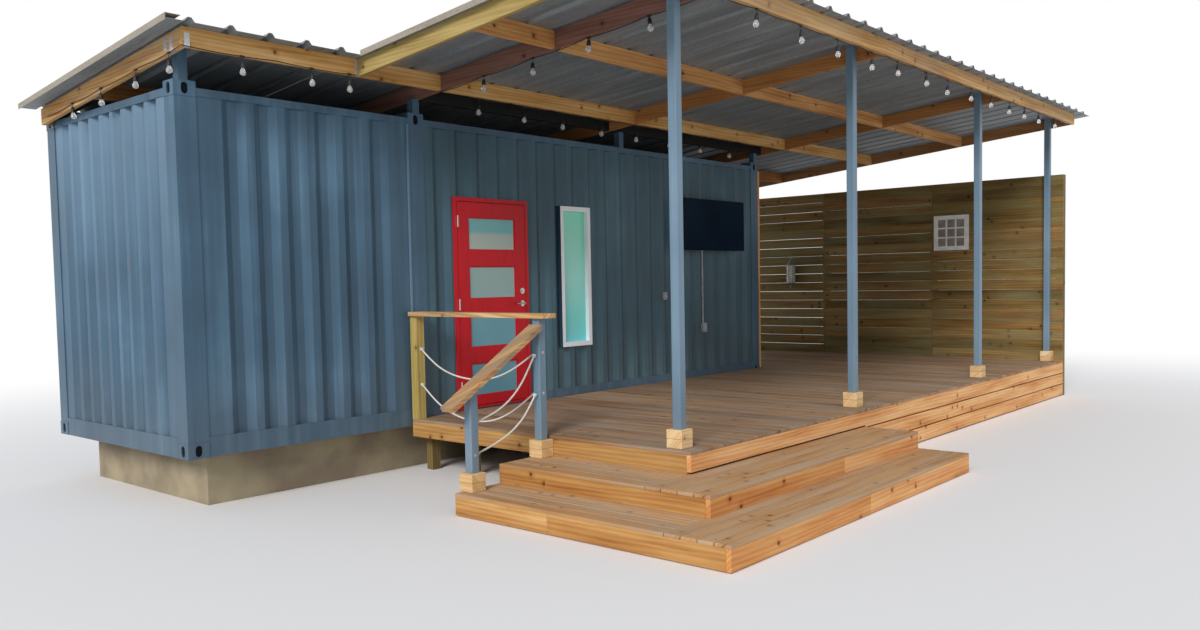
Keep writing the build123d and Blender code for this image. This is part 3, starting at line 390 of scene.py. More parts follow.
def paintedSteel(name, look):
    # two-pack enamel sprayed on weathering steel: soft dents, a fine orange peel, faint rain streaks
    material, add, shader = startMaterial(name, {"Specular IOR Level": 0.45})
    place = add("TexCoord").outputs["Object"]
    height = add("SeparateXYZ", {0: place}).outputs["Z"]
    patches = add("TexNoise", {"Scale": 0.9, "Detail": 4.0, "Vector": place})
    streaks = add("TexNoise", {"Scale": 1.0, "Detail": 4.0,
                               "Vector": add("Mapping", {"Scale": (16, 16, 0.5), "Vector": place})})
    blend = add("Math", {**multiplyAdd, 0: streaks, 1: 0.55, 2: patches})
    coat = add("ValToRGB", {"stops": [(0.52, look["low"]), (0.80, look["body"]), (1.0, look["high"])], "Fac": blend})
    if "faded" in look:  # painted sky light: lighter towards the head
        head = add("MapRange", {"From Min": look["headLow"], "From Max": look["headTop"],
                                "To Max": look["headShare"], "Value": height})
        coat = add("Mix", {"data_type": "RGBA", 0: head, 6: coat, 7: toLinear(look["faded"])})
    specks = add("TexNoise", {"Scale": 55.0, "Detail": 2.0, "Vector": place})
    specks = add("ValToRGB", {"stops": [(0.0, 0.0), (0.70, 0.0), (0.78, look["dust"])], "Fac": specks})
    foot = add("MapRange", {"From Min": look["footTop"], "From Max": look["footLow"],
                            "To Max": look["footShare"], "Value": height})
    dirt = add("Math", {**multiply, 0: foot, 1: streaks})
    dirt = add("Math", {"operation": "MAXIMUM", 0: dirt, 1: specks})
    colour = add("Mix", {"data_type": "RGBA", 0: dirt, 6: coat, 7: toLinear(look["dirt"])})
    rough = add("MapRange", {"To Min": look["rough"] - 0.08, "To Max": look["rough"] + 0.14, "Value": streaks})
    dents = add("TexNoise", {"Scale": 2.2, "Detail": 1.0, "Vector": place})
    dents = add("Bump", {"Strength": 0.6, "Distance": look["dent"], "Height": dents})
    peel = add("TexNoise", {"Scale": 320.0, "Detail": 1.0, "Vector": place})
    peel = add("Bump", {"Strength": 0.12, "Distance": 0.0006, "Height": peel, "Normal": dents})
    return finishMaterial(material, shader, colour, rough, peel)


def zincSteel(name, look):
    # hot-dipped galvanised sheet: spangle about 15 mm across, dull streaks down the slope
    material, add, shader = startMaterial(name, {"Metallic": look["metal"]})
    place = add("TexCoord").outputs["Object"]
    spangle = add("TexVoronoi", {"Scale": 65.0, "Vector": place})
    grey = add("RGBToBW", {0: spangle.outputs["Color"]})
    streaks = add("TexNoise", {"Scale": 1.0, "Detail": 5.0,
                               "Vector": add("Mapping", {"Scale": (9, 0.7, 9), "Vector": place})})
    blend = add("Math", {**multiplyAdd, 0: grey, 1: 0.30, 2: streaks})
    body = add("ValToRGB", {"stops": [(0.35, look["low"]), (0.6, look["body"]), (0.95, look["high"])], "Fac": blend})
    rough = add("MapRange", {"To Min": look["rough"] - 0.1, "To Max": look["rough"] + 0.2, "Value": blend})
    bump = add("Bump", {"Strength": 0.2, "Distance": 0.001, "Height": streaks})
    return finishMaterial(material, shader, body, rough, bump)


def evenFinish(name, look):
    # enamel, plastic, render or glass with a slight mottle and its own fine grain
    material, add, shader = startMaterial(name, {
        "Metallic": look.get("metal", 0.0), "Transmission Weight": look.get("through", 0.0),
        "Specular IOR Level": look.get("gloss", 0.5), "IOR": look.get("ior", 1.5)})
    place = add("TexCoord").outputs["Object"]
    axes = add("SeparateXYZ", {0: place}).outputs
    stretched = add("Mapping", {"Scale": look.get("stretch", (1, 1, 1)), "Vector": place})
    mottle = add("TexNoise", {"Scale": look["mottle"], "Detail": 4.0, "Vector": stretched})
    colour = add("ValToRGB", {"stops": [(0.36, look["low"]), (0.64, look["high"])], "Fac": mottle})
    if "heights" in look:  # painted reflection: the tint drifts from foot to head
        heights = look["heights"]
        rise = add("MapRange", {"From Min": heights["from"], "From Max": heights["to"], "Value": axes["Z"]})
        tint = add("ValToRGB", {"stops": heights["stops"], "Fac": rise})
        colour = add("Mix", {"data_type": "RGBA", 0: 0.8, 6: colour, 7: tint})
    if "band" in look:  # painted over outside this stretch of X
        band = look["band"]
        inside = add("Math", {"operation": "COMPARE", 0: axes["X"], 1: band["middle"], 2: band["half"]})
        colour = add("Mix", {"data_type": "RGBA", 0: inside, 6: toLinear(band["outside"]), 7: colour})
    rough = add("MapRange", {"To Min": look["rough"] * 0.85, "To Max": look["rough"] * 1.15, "Value": mottle})
    grain = add("TexNoise", {"Scale": look["grain"], "Detail": 2.0, "Vector": stretched})
    bump = add("Bump", {"Strength": look["relief"], "Distance": look.get("depth", 0.0005), "Height": grain})
    return finishMaterial(material, shader, colour, rough, bump)


# sawn pine: soft broad figure, a few dark knots, a dry matt face that sun turns golden and rain grey
pines = {
    "golden": {"pale": "#deb478", "middle": "#c8965a", "dark": "#a36c34", "knot": "#5a3218"},
    # sunlit is golden painted paler: painted sunlight for the boards that face the front
    "sunlit": {"pale": "#f6c68c", "middle": "#e8a768", "dark": "#c27c42", "knot": "#5a3218"},
    "yellow": {"pale": "#cdb56e", "middle": "#b89f58", "dark": "#968046", "knot": "#5c4624"},
    "orange": {"pale": "#dba666", "middle": "#c48a4f", "dark": "#965d30", "knot": "#472817"},
    "fair": {"pale": "#f8dfb4", "middle": "#edcb98", "dark": "#d4ab74", "knot": "#8a6238"},
    "worn": {"pale": "#c9a884", "middle": "#b08e6b", "dark": "#8f7152", "knot": "#4c3524",
             "grey": "#a39585", "greyShare": 0.55},
    "olive": {"pale": "#8f7a4a", "middle": "#6f5d38", "dark": "#4a3d26", "knot": "#2a1e12"},
}
# enamel sprayed on pressed steel: even slate blue, soft dents, rain streaks and a dusty foot
slate = {"low": "#365163", "body": "#426176", "high": "#56788e", "dirt": "#7d7566", "dust": 0.05,
         "footTop": 1.3, "footLow": 0.3, "footShare": 0.35, "rough": 0.42, "dent": 0.012}
slateEnamel = paintedSteel("slateEnamelOnSteel", slate)
# the end walls get painted sky light: lighter towards the head, for the open sky over them
skyLitEnamel = paintedSteel("skyLitSlateEnamel", {
    **slate, "faded": "#7fa0b8", "headLow": 1.9, "headTop": 3.25, "headShare": 0.40})
# the long front under the porch roof is painted duller and less blue, a painted tint for the warm light bounced up from
# the deck
porchBounceEnamel = paintedSteel("deckBounceSlateEnamel", {
    **slate, "low": "#35505c", "body": "#40606c", "high": "#52737e", "rough": 0.45})
# drawn tube is flatter and holds more sheen
postEnamel = paintedSteel("slateEnamelOnTube", {
    "low": "#637b8b", "body": "#6f8899", "high": "#7d95a4", "dirt": "#9a9384", "dust": 0.08,
    "footTop": 0.9, "footLow": 0.5, "footShare": 0.3, "rough": 0.38, "dent": 0.002})
# the cover strip over the seam between the two lengths is painted lighter, a painted highlight for the light caught on
# its edge
seamHighlightEnamel = paintedSteel("highlightSlateEnamel", {
    "low": "#587387", "body": "#668196", "high": "#7691a5", "dirt": "#7d7566", "dust": 0.03,
    "footTop": 0.9, "footLow": 0.4, "footShare": 0.25, "rough": 0.36, "dent": 0.002})
# ribbed sheet still shows its spangle, flashing has gone chalky, straps are new and bright
roofZinc = zincSteel("galvanisedRoofSheet", {
    "low": "#6f767a", "body": "#868d91", "high": "#9ca3a7", "metal": 0.45, "rough": 0.45})
flashingZinc = zincSteel("weatheredFlashing", {
    "low": "#857d6e", "body": "#9a9181", "high": "#aca393", "metal": 0.15, "rough": 0.6})
strapZinc = zincSteel("brightZincStrap", {
    "low": "#9aa0a4", "body": "#b4babd", "high": "#d3d7da", "metal": 0.7, "rough": 0.35})
redEnamel = evenFinish("brushedRedEnamel", {  # strong even red with faint upright brush marks
    "low": "#c2141f", "high": "#cc1823", "mottle": 3.0, "rough": 0.42, "grain": 90.0, "relief": 0.10,
    "stretch": (6, 6, 1), "gloss": 0.25})
whiteEnamel = evenFinish("whiteWindowEnamel", {  # clean white, with its reveals painted over in a slate darker than the wall, partly painted shade
    "low": "#f6f9fb", "high": "#ffffff", "mottle": 4.0, "rough": 0.4, "grain": 160.0, "relief": 0.05,
    "band": {"middle": originX + 4.482, "half": 0.25, "outside": "#2c4252"}})
agedWhite = evenFinish("agedWhitePaint", {  # creamy and a little rough
    "low": "#e8e4da", "high": "#f8f5ee", "mottle": 9.0, "rough": 0.6, "grain": 140.0, "relief": 0.15})
frostedGlass = evenFinish("frostedDoorGlass", {  # milky, with a painted reflection: bluer at its foot and head than between
    "low": "#7fa3a4", "high": "#b3beb4", "mottle": 1.3, "rough": 0.30, "grain": 420.0, "relief": 0.20,
    "through": 0.10, "heights": {"from": 0.6, "to": 2.4, "stops": [
        (0.0, "#5aa2b8"), (0.46, "#5ea4b4"), (0.54, "#98bab6"), (0.73, "#9ebab0"), (0.81, "#b8c6b6"),
        (0.895, "#b2c0b2"), (0.915, "#62b8ba"), (1.0, "#6ab6b2")]}})
tealGlass = evenFinish("tealWindowGlass", {  # bright film on the pane, smooth and nearly opaque, with a painted reflection in bands from foot to head
    "low": "#86e4cc", "high": "#acf6e4", "mottle": 0.8, "rough": 0.10, "grain": 3.0, "relief": 0.04,
    "through": 0.05, "heights": {"from": 1.07, "to": 2.50, "stops": [
        (0.0, "#76e8ee"), (0.18, "#84f2ea"), (0.5, "#b2ffee"), (0.75, "#a0fcdc"), (1.0, "#82f4ce")]}})
satinNickel = evenFinish("satinNickel", {  # warm grey metal with a soft shine
    "low": "#b3aea6", "high": "#c9c4bc", "mottle": 30.0, "rough": 0.28, "grain": 900.0, "relief": 0.1,
    "metal": 1.0})
hingeSteel = evenFinish("hingeKnuckleSteel", {  # bare knuckles between leaves painted with the door
    "low": "#cfc6be", "high": "#e2dad2", "mottle": 30.0, "rough": 0.4, "grain": 600.0, "relief": 0.1,
    "band": {"middle": originX + 2.7685, "half": 0.0068, "outside": "#c2141f"}})
blackPlastic = evenFinish("blackTelevisionCase", {  # moulded, matt and almost without a glint
    "low": "#05080e", "high": "#0a0f17", "mottle": 20.0, "rough": 0.6, "grain": 900.0, "relief": 0.2,
    "gloss": 0.06})
screenGlass = evenFinish("darkScreenGlass", {  # coated against glare, deep blue while it is off
    "low": "#0a1a2a", "high": "#0e2438", "mottle": 1.2, "rough": 0.35, "grain": 5.0, "relief": 0.02,
    "gloss": 0.02})
wallRender = evenFinish("beigeCementRender", {  # floated by hand: sandy, blotched, dull
    "low": "#857762", "high": "#a89a7c", "mottle": 2.4, "rough": 0.9, "grain": 160.0, "relief": 0.7,
    "depth": 0.003})
floorPly = evenFinish("oiledFloorPlywood", {  # brown, its figure drawn out along the sheet
    "low": "#6e4f33", "high": "#86633f", "mottle": 3.0, "rough": 0.6, "grain": 90.0, "relief": 0.3,
    "stretch": (1, 12, 1)})
lanternZinc = evenFinish("zincLanternMetal", {  # dull grey sheet with a cast grain
    "low": "#8b8a84", "high": "#a7a59d", "mottle": 40.0, "rough": 0.5, "grain": 300.0, "relief": 0.3,
    "metal": 0.5})
blackRubber = evenFinish("blackCableRubber", {  # soft black without highlights
    "low": "#121212", "high": "#1d1d1c", "mottle": 60.0, "rough": 0.55, "grain": 500.0, "relief": 0.2})
clearGlass = evenFinish("clearBulbGlass", {  # blown thin, the sky shows through
    "low": "#f4f6f6", "high": "#ffffff", "mottle": 4.0, "rough": 0.08, "grain": 10.0, "relief": 0.0,
    "through": 0.72, "ior": 1.45})
warmFilament = evenFinish("brassFilament", {  # a warm thread inside the glass
    "low": "#c98f3c", "high": "#e0a850", "mottle": 50.0, "rough": 0.4, "grain": 200.0, "relief": 0.0,
    "metal": 0.8})
ropeFibre = evenFinish("whiteBraidedRope", {  # off-white fibres, fuzzy and matt
    "low": "#c9c4b8", "high": "#e6e2d8", "mottle": 120.0, "rough": 0.85, "grain": 1400.0, "relief": 0.6,
    "gloss": 0.2})
darkSteel = evenFinish("rawScrewSteel", {  # unplated heads that have gone dull
    "low": "#6a6a68", "high": "#8b8b88", "mottle": 60.0, "rough": 0.45, "grain": 300.0, "relief": 0.2,
    "metal": 0.9})
paneGrey = evenFinish("dimPaneGlass", {  # old panes, brown and dim
    "low": "#857a70", "high": "#a0958a", "mottle": 12.0, "rough": 0.5, "grain": 40.0, "relief": 0.1})
lanternGlass = evenFinish("milkyLanternGlass", {  # opal panes, even and pale
    "low": "#c9c6b8", "high": "#e9e6da", "mottle": 14.0, "rough": 0.45, "grain": 200.0, "relief": 0.1})
hollowShade = evenFinish("shadedCastingHollow", {  # unlit steel inside the castings, near black
    "low": "#0b1117", "high": "#141c24", "mottle": 30.0, "rough": 0.8, "grain": 300.0, "relief": 0.3,
    "gloss": 0.1})
greyPlastic = evenFinish("greyOutletPlastic", {  # moulded, light grey, finely textured
    "low": "#9aa09f", "high": "#b7bcba", "mottle": 20.0, "rough": 0.5, "grain": 700.0, "relief": 0.2})
print("stage: materials")


# finishes of the CAD parts
def dress(material, *names):
    for name in names:
        mesh = nodes[name].data
        for i in range(len(mesh.materials)):
            mesh.materials[i] = material
        if not mesh.materials:
            mesh.materials.append(material)


dress(seamHighlightEnamel, "seam_strips")
dress(slateEnamel, "corner_posts", "short_rails", "long_rails", "short_front_wall",
      "rear_walls", "container_roofs", "floor_crossmembers", "roof_stubs")
dress(skyLitEnamel, "end_walls")
dress(porchBounceEnamel, "front_wall_left", "front_wall_over_door", "front_wall_right")
dress(postEnamel, "steel_posts")
dress(roofZinc, "main_roof_sheet", "left_roof_sheet")
dress(flashingZinc, "roof_flashings")
dress(redEnamel, "door_leaf", "door_jambs", "door_head_and_sill")
dress(frostedGlass, "door_glass")
dress(satinNickel, "door_lockset")
dress(hingeSteel, "hinge_jamb_halves", "hinge_leaf_halves")
dress(whiteEnamel, "window_frame")
dress(tealGlass, "window_glass")
dress(wallRender, "foundation_long_walls", "foundation_end_walls")
dress(floorPly, "container_floor")
dress(blackPlastic, "outdoor_television")
dress(agedWhite, "pane_frame")
dress(lanternZinc, "wall_lantern")
# painted light: the rafters are tinted for the light each catches, from left to right
rafterLightTints = {"axis": "X", "from": originX, "to": originX + 12, "stops": [
    (0.0, "#e9e6f0"), (0.16, "#b796dc"), (0.31, "#efbdb9"), (0.56, "#e4b4b2"), (0.81, "#d3afc0")]}
dress(timber("sawnYellowPine", {**pines["yellow"], "places": rafterLightTints}, "y"), "rafters")
# painted shade: the beam over the container is tinted dark navy for the shade over the container, the ones behind it a
# little darker
beamShadeTints = {"axis": "Y", "from": originY - 2, "to": originY + 3, "stops": [
    (0.0, "#ffffff"), (0.25, "#1d2a4a"), (0.53, "#cfc0ae")]}
dress(timber("sawnOrangePine", {**pines["orange"], "places": beamShadeTints}), "cross_beams")
# a slightly paler golden: painted sunlight on the wall plate
dress(timber("sunnyWallPlate", {**pines["golden"], "middle": "#cb9854", "dark": "#a8743c"}), "wall_line_beams")
edgeLook = {**pines["golden"], "grey": "#b5a78f", "greyShare": 0.3, "crossedBelow": originX - 0.051}
dress(timber("roofEdgePine", edgeLook), "roof_edge_beams")
dress(timber("sunlitDeckBoard", pines["sunlit"]), "deck_front_and_back_boards")
sideLook = {**pines["golden"], "pale": "#cc9f60", "middle": "#b6864a", "dark": "#925f2c"}
dress(timber("goldenDeckBoardY", sideLook, "y"), "deck_side_boards")
dress(timber("treatedBearer", pines["olive"]), "deck_bearers")
dress(timber("treatedUpright", pines["olive"], "z"), "deck_legs", "step_legs", "screen_posts")
dress(timber("yellowPostPine", pines["yellow"], "z"), "rail_wall_post")
dress(timber("cornerBoardPine", pines["sunlit"], "z"), "corner_board")
levelLook = {**pines["golden"], "pale": "#e8c490", "grey": "#b09a7c", "greyShare": 0.3}
dress(timber("handrailPine", levelLook, "y"), "level_rail")
slopingLook = {**pines["golden"], "middle": "#b98a5a", "grey": "#97846d", "greyShare": 0.7}
dress(timber("slopingRailPine", slopingLook), "sloping_rail")
print("stage: CAD parts dressed")


# rope rails
ropes = {
    "diameter": 0.016,
    "strand": 0.0046,
    "lay": 0.045,  # one full turn of a strand
    "sides": 7,
    "spacing": 0.004,
    "curveSteps": 24,
    "pathStep": 6,  # every so many places of the line go into the cord's path
}
ropeRoutes = {
    "landing_rope_upper": (
        (2.197, -0.124, 1.132), (2.190, -0.252, 1.046), (2.181, -0.398, 0.974), (2.172, -0.560, 0.926),
        (2.162, -0.735, 0.902), (2.152, -0.915, 0.896), (2.142, -1.095, 0.915), (2.131, -1.268, 0.962),
        (2.120, -1.430, 1.030), (2.110, -1.568, 1.104), (2.104, -1.664, 1.158)),
    "landing_rope_lower": (
        (2.197, -0.124, 0.803), (2.190, -0.250, 0.712), (2.181, -0.395, 0.632), (2.172, -0.556, 0.575),
        (2.162, -0.730, 0.541), (2.152, -0.912, 0.533), (2.142, -1.094, 0.553), (2.131, -1.268, 0.608),
        (2.120, -1.430, 0.688), (2.110, -1.568, 0.776), (2.104, -1.664, 0.838)),
    "stair_rope_upper": (
        (2.023, -1.735, 1.136), (1.966, -1.735, 1.052), (1.898, -1.735, 0.956), (1.818, -1.735, 0.872),
        (1.722, -1.735, 0.800), (1.612, -1.735, 0.746), (1.504, -1.735, 0.712), (1.410, -1.735, 0.690)),
    "stair_rope_lower": (
        (2.023, -1.735, 0.818), (1.962, -1.735, 0.738), (1.888, -1.735, 0.656), (1.800, -1.735, 0.590),
        (1.704, -1.735, 0.540), (1.602, -1.735, 0.502), (1.502, -1.735, 0.472), (1.410, -1.735, 0.450)),
}


def smoothLine(name, route):
    # the route as a NURBS spline, read back as points close together
    curve = bpy.data.curves.new(name, "CURVE")
    curve.dimensions = "3D"
    spline = curve.splines.new("NURBS")
    spline.points.add(len(route) - 1)
    for point, place in zip(spline.points, route):
        point.co = (*place, 1)
    spline.order_u = 3
    spline.use_endpoint_u = True
    spline.resolution_u = ropes["curveSteps"]
    carrier = addObject(name + "Line", curve)
    graph = bpy.context.evaluated_depsgraph_get()
    mesh = bpy.data.meshes.new_from_object(carrier.evaluated_get(graph))
    points = [v.co.copy() for v in mesh.vertices]
    bpy.data.objects.remove(carrier)
    return points


def evenly(points, spacing):
    lengths = [0.0]
    for a, b in zip(points, points[1:]):
        lengths.append(lengths[-1] + (b - a).length)
    total = lengths[-1]
    count = max(2, round(total / spacing))
    made, i = [], 0
    for k in range(count + 1):
        wanted = total * k / count
        while i < len(lengths) - 2 and lengths[i + 1] < wanted:
            i += 1
        span = lengths[i + 1] - lengths[i]
        made.append(points[i].lerp(points[i + 1], (wanted - lengths[i]) / span if span else 0))
    return made, total


ropeEnds = []
for name, places in ropeRoutes.items():
    route = [spot(*place) for place in places]
    line, length = evenly(smoothLine(name, route), ropes["spacing"])
    turnPerRing = 2 * math.pi * (length / (len(line) - 1)) / ropes["lay"]

    def strands(shape):
        for phase in circle(3):
            addTube(shape, line, ropes["strand"], ropes["sides"], twist=turnPerRing, phase=phase,
                    offset=ropes["diameter"] / 2 - ropes["strand"])

    words = name.split("_")
    pieceName = words[0] + "".join(word.title() for word in words[1:])
    rope = addPiece(pieceName, strands, ropeFibre, "rope", name, rounded=60)
    ropeEnds += [(route[0], (route[0] - route[1]).normalized()),
                 (route[-1], (route[-1] - route[-2]).normalized())]

knots = {"size": 0.004464, "tube": 0.0068, "points": 60, "sides": 8, "inside": 0.010, "depth": 1.4}


def tieKnots(shape):
    # overhand knots, each a closed three-lobed loop of the rope
    for place, outward in ropeEnds:
        middle = place + outward * knots["inside"]
        turn = outward.to_track_quat("Z", "Y").to_matrix()
        loop = [middle + turn @ (Vector((math.sin(t) + 2 * math.sin(2 * t), math.cos(t) - 2 * math.cos(2 * t),
                                         -knots["depth"] * math.sin(3 * t))) * knots["size"])
                for t in circle(knots["points"])]
        addTube(shape, loop, knots["tube"], knots["sides"], closed=True)


addPiece("ropeKnotsTied", tieKnots, ropeFibre, "rope", "rope_knots", rounded=60)
print("stage: ropes and knots")


# node groups for what repeats
def newGroup(name, **sockets):
    # a tree whose inputs are named after the keywords, each with its kind and first value
    group = bpy.data.node_groups.new(name, "GeometryNodeTree")
    group.interface.new_socket("Geometry", in_out="INPUT", socket_type="NodeSocketGeometry")
    for label, (kind, value) in sockets.items():
        socket = group.interface.new_socket(label, in_out="INPUT", socket_type="NodeSocket" + kind)
        if value is not None:
            socket.default_value = value
    group.interface.new_socket("Geometry", in_out="OUTPUT", socket_type="NodeSocketGeometry")
    add = adder(group)
    return group, add, add("NodeGroupInput").outputs


def endGroup(add, given, geometry):
    faced = add("GeometryNodeSetMaterial", {"Geometry": geometry, "Material": given["material"]})
    add("NodeGroupOutput", {0: faced})


def pointsAlong(add, axis, pitch, count):
    step = add("CombineXYZ", {axis: pitch})
    return add("GeometryNodeMeshLine", {"mode": "OFFSET", "Count": count, "Offset": step})


def wandering(add, limits, seed):
    # a random vector for every point, as far below nothing as above it
    high = add("CombineXYZ", limits)
    low = add("VectorMath", {"operation": "SCALE", 0: high, "Scale": -1.0})
    return add("FunctionNodeRandomValue", {"data_type": "FLOAT_VECTOR", 0: low, 1: high, "Seed": seed})


# boards side by side along Y, each with a place of its own in the grain
boardRow, add, given = newGroup(
    "boardsInARow", pitch=("Float", 0.145), count=("Int", 4), endWander=("Float", 0.0), sideWander=("Float", 0.0),
    liftWander=("Float", 0.0), seed=("Int", 1), material=("Material", None))
grainOf = {"data_type": "FLOAT_VECTOR", "domain": "POINT", "Name": "grain"}
board = add("GeometryNodeStoreNamedAttribute", {**grainOf, "Geometry": given["Geometry"],
                                                "Value": add("GeometryNodeInputPosition")})
placed = add("GeometryNodeInstanceOnPoints", {"Points": pointsAlong(add, "Y", given["pitch"], given["count"]),
                                              "Instance": board})
wander = wandering(add, {"X": given["endWander"], "Y": given["sideWander"], "Z": given["liftWander"]}, given["seed"])
moved = add("GeometryNodeTranslateInstances", {"Instances": placed, "Translation": wander})
toneSeed = add("Math", {"operation": "ADD", 0: given["seed"], 1: 7.0})
tone = add("FunctionNodeRandomValue", {"data_type": "FLOAT", "Seed": toneSeed})
toned = add("GeometryNodeStoreNamedAttribute", {"data_type": "FLOAT", "domain": "INSTANCE", "Name": "tone",
                                                "Geometry": moved, "Value": tone})
shift = add("FunctionNodeRandomValue", {"data_type": "FLOAT_VECTOR", 1: (20.0, 20.0, 0.0), "Seed": given["seed"]})
shifted = add("GeometryNodeStoreNamedAttribute", {"data_type": "FLOAT_VECTOR", "domain": "INSTANCE",
                                                  "Name": "shift", "Geometry": toned, "Value": shift})
real = add("GeometryNodeRealizeInstances", {0: shifted})
grainRead, shiftRead = (add("GeometryNodeInputNamedAttribute", {"data_type": "FLOAT_VECTOR", "Name": label})
                        for label in ("grain", "shift"))
summed = add("VectorMath", {"operation": "ADD", 0: grainRead, 1: shiftRead})
endGroup(add, given, add("GeometryNodeStoreNamedAttribute", {**grainOf, "Geometry": real, "Value": summed}))

# pairs of screw heads on every board over every joist
screwGrid, add, given = newGroup(
    "screwsOverJoists", pitch=("Float", 0.145), count=("Int", 4), joistPitch=("Float", 0.6), joistCount=("Int", 1),
    pair=("Float", 0.09), radius=("Float", 0.004), height=("Float", 0.0015), wander=("Float", 0.003),
    seed=("Int", 1), material=("Material", None))
places = pointsAlong(add, "Y", given["pair"], 2)
for axis, pitch, count in (("X", "joistPitch", "joistCount"), ("Y", "pitch", "count")):
    places = add("GeometryNodeInstanceOnPoints", {
        "Points": pointsAlong(add, axis, given[pitch], given[count]), "Instance": places})
wander = wandering(add, {"X": given["wander"], "Y": given["wander"]}, given["seed"])
nudged = add("GeometryNodeSetPosition", {"Geometry": add("GeometryNodeRealizeInstances", {0: places}),
                                         "Offset": wander})
head = add("GeometryNodeMeshCylinder", {"Vertices": 8, "Radius": given["radius"], "Depth": given["height"]})
heads = add("GeometryNodeInstanceOnPoints", {"Points": nudged, "Instance": head})
endGroup(add, given, add("GeometryNodeRealizeInstances", {0: heads}))

# one fitting on every point of a mesh, each swung a little
fittingSpots, add, given = newGroup(
    "fittingsOnPoints", fitting=("Object", None), swing=("Float", 0.0), seed=("Int", 1),
    material=("Material", None))
swing = wandering(add, {"X": given["swing"], "Y": given["swing"]}, given["seed"])
hung = add("GeometryNodeInstanceOnPoints", {
    "Points": given["Geometry"], "Rotation": swing,
    "Instance": add("GeometryNodeObjectInfo", {"Object": given["fitting"]}).outputs["Geometry"]})
endGroup(add, given, add("GeometryNodeRealizeInstances", {0: hung}))
print("stage: node groups")


# deck boards laid front to back, the lounge's in a second row behind a butt joint
deck = {
    "board": 0.140, "gap": 0.005, "edge": 0.003, "seed": 5, "wander": (0.0010, 0.0005),
    "wallY": -0.006, "loungeX": 8.274,
    "screw": {"radius": 0.0045, "height": 0.0020, "wander": 0.004, "pairShare": 0.62, "sunk": 0.0005},
    "porchJoists": (-3.060, -2.450, -1.850, -1.230, -0.620, -0.060),
    "loungeJoists": (0.540, 1.150, 1.760, 2.350),
}
wallY = originY + deck["wallY"]
loungeX = originX + deck["loungeX"]
gap = deck["gap"]
count = round((deckHigh.x - deckLow.x) / (deck["board"] + gap))
pitch = (deckHigh.x - deckLow.x + gap) / count
inset, lift = deck["wander"]


def boardsBetween(name, low, high, direction, number, gap, edge, material, seed, wander):
    # boards that fill a box, running along X or Y, with the wander kept inside it
    low, high = Vector(low), Vector(high)
    run = "xy".index(direction)
    low[run] += wander[0]
    high[run] -= wander[0]
    size = high - low
    width = (size[1 - run] - gap * (number - 1)) / number
    mesh = meshOf(name + "Board", lambda s: addBox(s, (0, 0, 0), (size[run], width, size.z - wander[1]), edge))
    made = grown(name, boardRow, mesh, {"pitch": width + gap, "count": number, "endWander": wander[0],
                                        "liftWander": wander[1], "seed": seed, "material": material})
    made.data.transform(Matrix.Translation(low) if direction == "x" else
                        Matrix.Translation((high.x, low.y, low.z)) @ quarterTurn)
    return made


def screwRow(name, pitch, number, pair, head, seed, place, material=darkSteel):
    # a row of screw pairs along Y, then moved into place
    made = grown(name, screwGrid, meshOf(name + "Spot", lambda s: s.verts.new((0, 0, 0))), {
        "pitch": pitch, "count": number, "pair": pair, "radius": head["radius"], "height": head["height"],
        "wander": head["wander"], "seed": seed, "material": material})
    made.data.transform(place)
    return made


def screwsBetween(name, low, high, top, joists, direction, number, gap, seed):
    # two screws in every board over every joist line; runs as boardsBetween does
    run = "xy".index(direction)
    width = (high[1 - run] - low[1 - run] - gap * (number - 1)) / number
    pair = width * deck["screw"]["pairShare"]
    edge = (width - pair) / 2
    return [screwRow(name + str(i), width + gap, number, pair, deck["screw"], seed + i,
                     Matrix.Translation((joist, low[1] + edge, top)) if direction == "x" else
                     Matrix.Translation((high[0] - edge, joist, top)) @ quarterTurn)
            for i, joist in enumerate(joists)]


# pine whose boards each have a tone and a grain of their own: trodden grey, golden, sunlit, planed, half worn
edgeTones = [(0.0, "#e8dac4"), (0.5, "#f6ecda"), (1.0, "#ffffff")]
wornPine = timber("wornDeckBoard", {
    **pines["worn"], "fibreLow": 0.72, "tones": [(0.0, "#cbbfb2"), (0.45, "#e9dfd3"), (1.0, "#fff6ea")]}, own=True)
goldenOwn = timber("goldenEdgeBoard", {**pines["golden"], "tones": edgeTones}, own=True)
sunlitOwn = timber("sunlitEdgeBoard", {**pines["sunlit"], "tones": edgeTones}, own=True)
fairOwn = timber("planedBlockPine", {**pines["fair"], "tones": edgeTones}, own=True)
treadOwn = timber("treadPine", {**pines["golden"], "pale": "#d6ad80", "middle": "#c49b71", "dark": "#a5794c",
                                "grey": "#b7a287", "greyShare": 0.6, "tones": edgeTones}, own=True)

firstWhole = math.ceil((loungeX - deckLow.x) / pitch)  # the first board that the container doesn't cut
wholeX = deckLow.x + firstWhole * pitch
deckPieces = [
    boardsBetween(name, low, high, "y", number, gap, deck["edge"], wornPine, deck["seed"] + i, deck["wander"])
    for i, (name, low, high, number) in enumerate((
        ("porchBoards", deckLow, (deckHigh.x, wallY - inset, deckHigh.z), count),
        ("loungeBoards", (wholeX, wallY + inset, deckLow.z), deckHigh, count - firstWhole),
        ("loungeRip", (loungeX, wallY + inset, deckLow.z), (wholeX - gap, deckHigh.y, deckHigh.z), 1)))]
finished(joined("deckBoardsLaid", deckPieces), "deck_timber", "deck_boards")
screwTop = deckHigh.z - lift - deck["screw"]["sunk"]
deckScrews = screwsBetween("porchScrews", deckLow, (deckHigh.x, wallY, 0), screwTop,
                           [originY + y for y in deck["porchJoists"]], "y", count, gap, 11)
deckScrews += screwsBetween("loungeScrews", (wholeX, wallY, 0), deckHigh, screwTop,
                            [originY + y for y in deck["loungeJoists"]], "y", count - firstWhole, gap, 23)
finished(joined("deckScrews", deckScrews), "post_steel")
print("stage: deck boards", count, "with a lounge of", count - firstWhole)


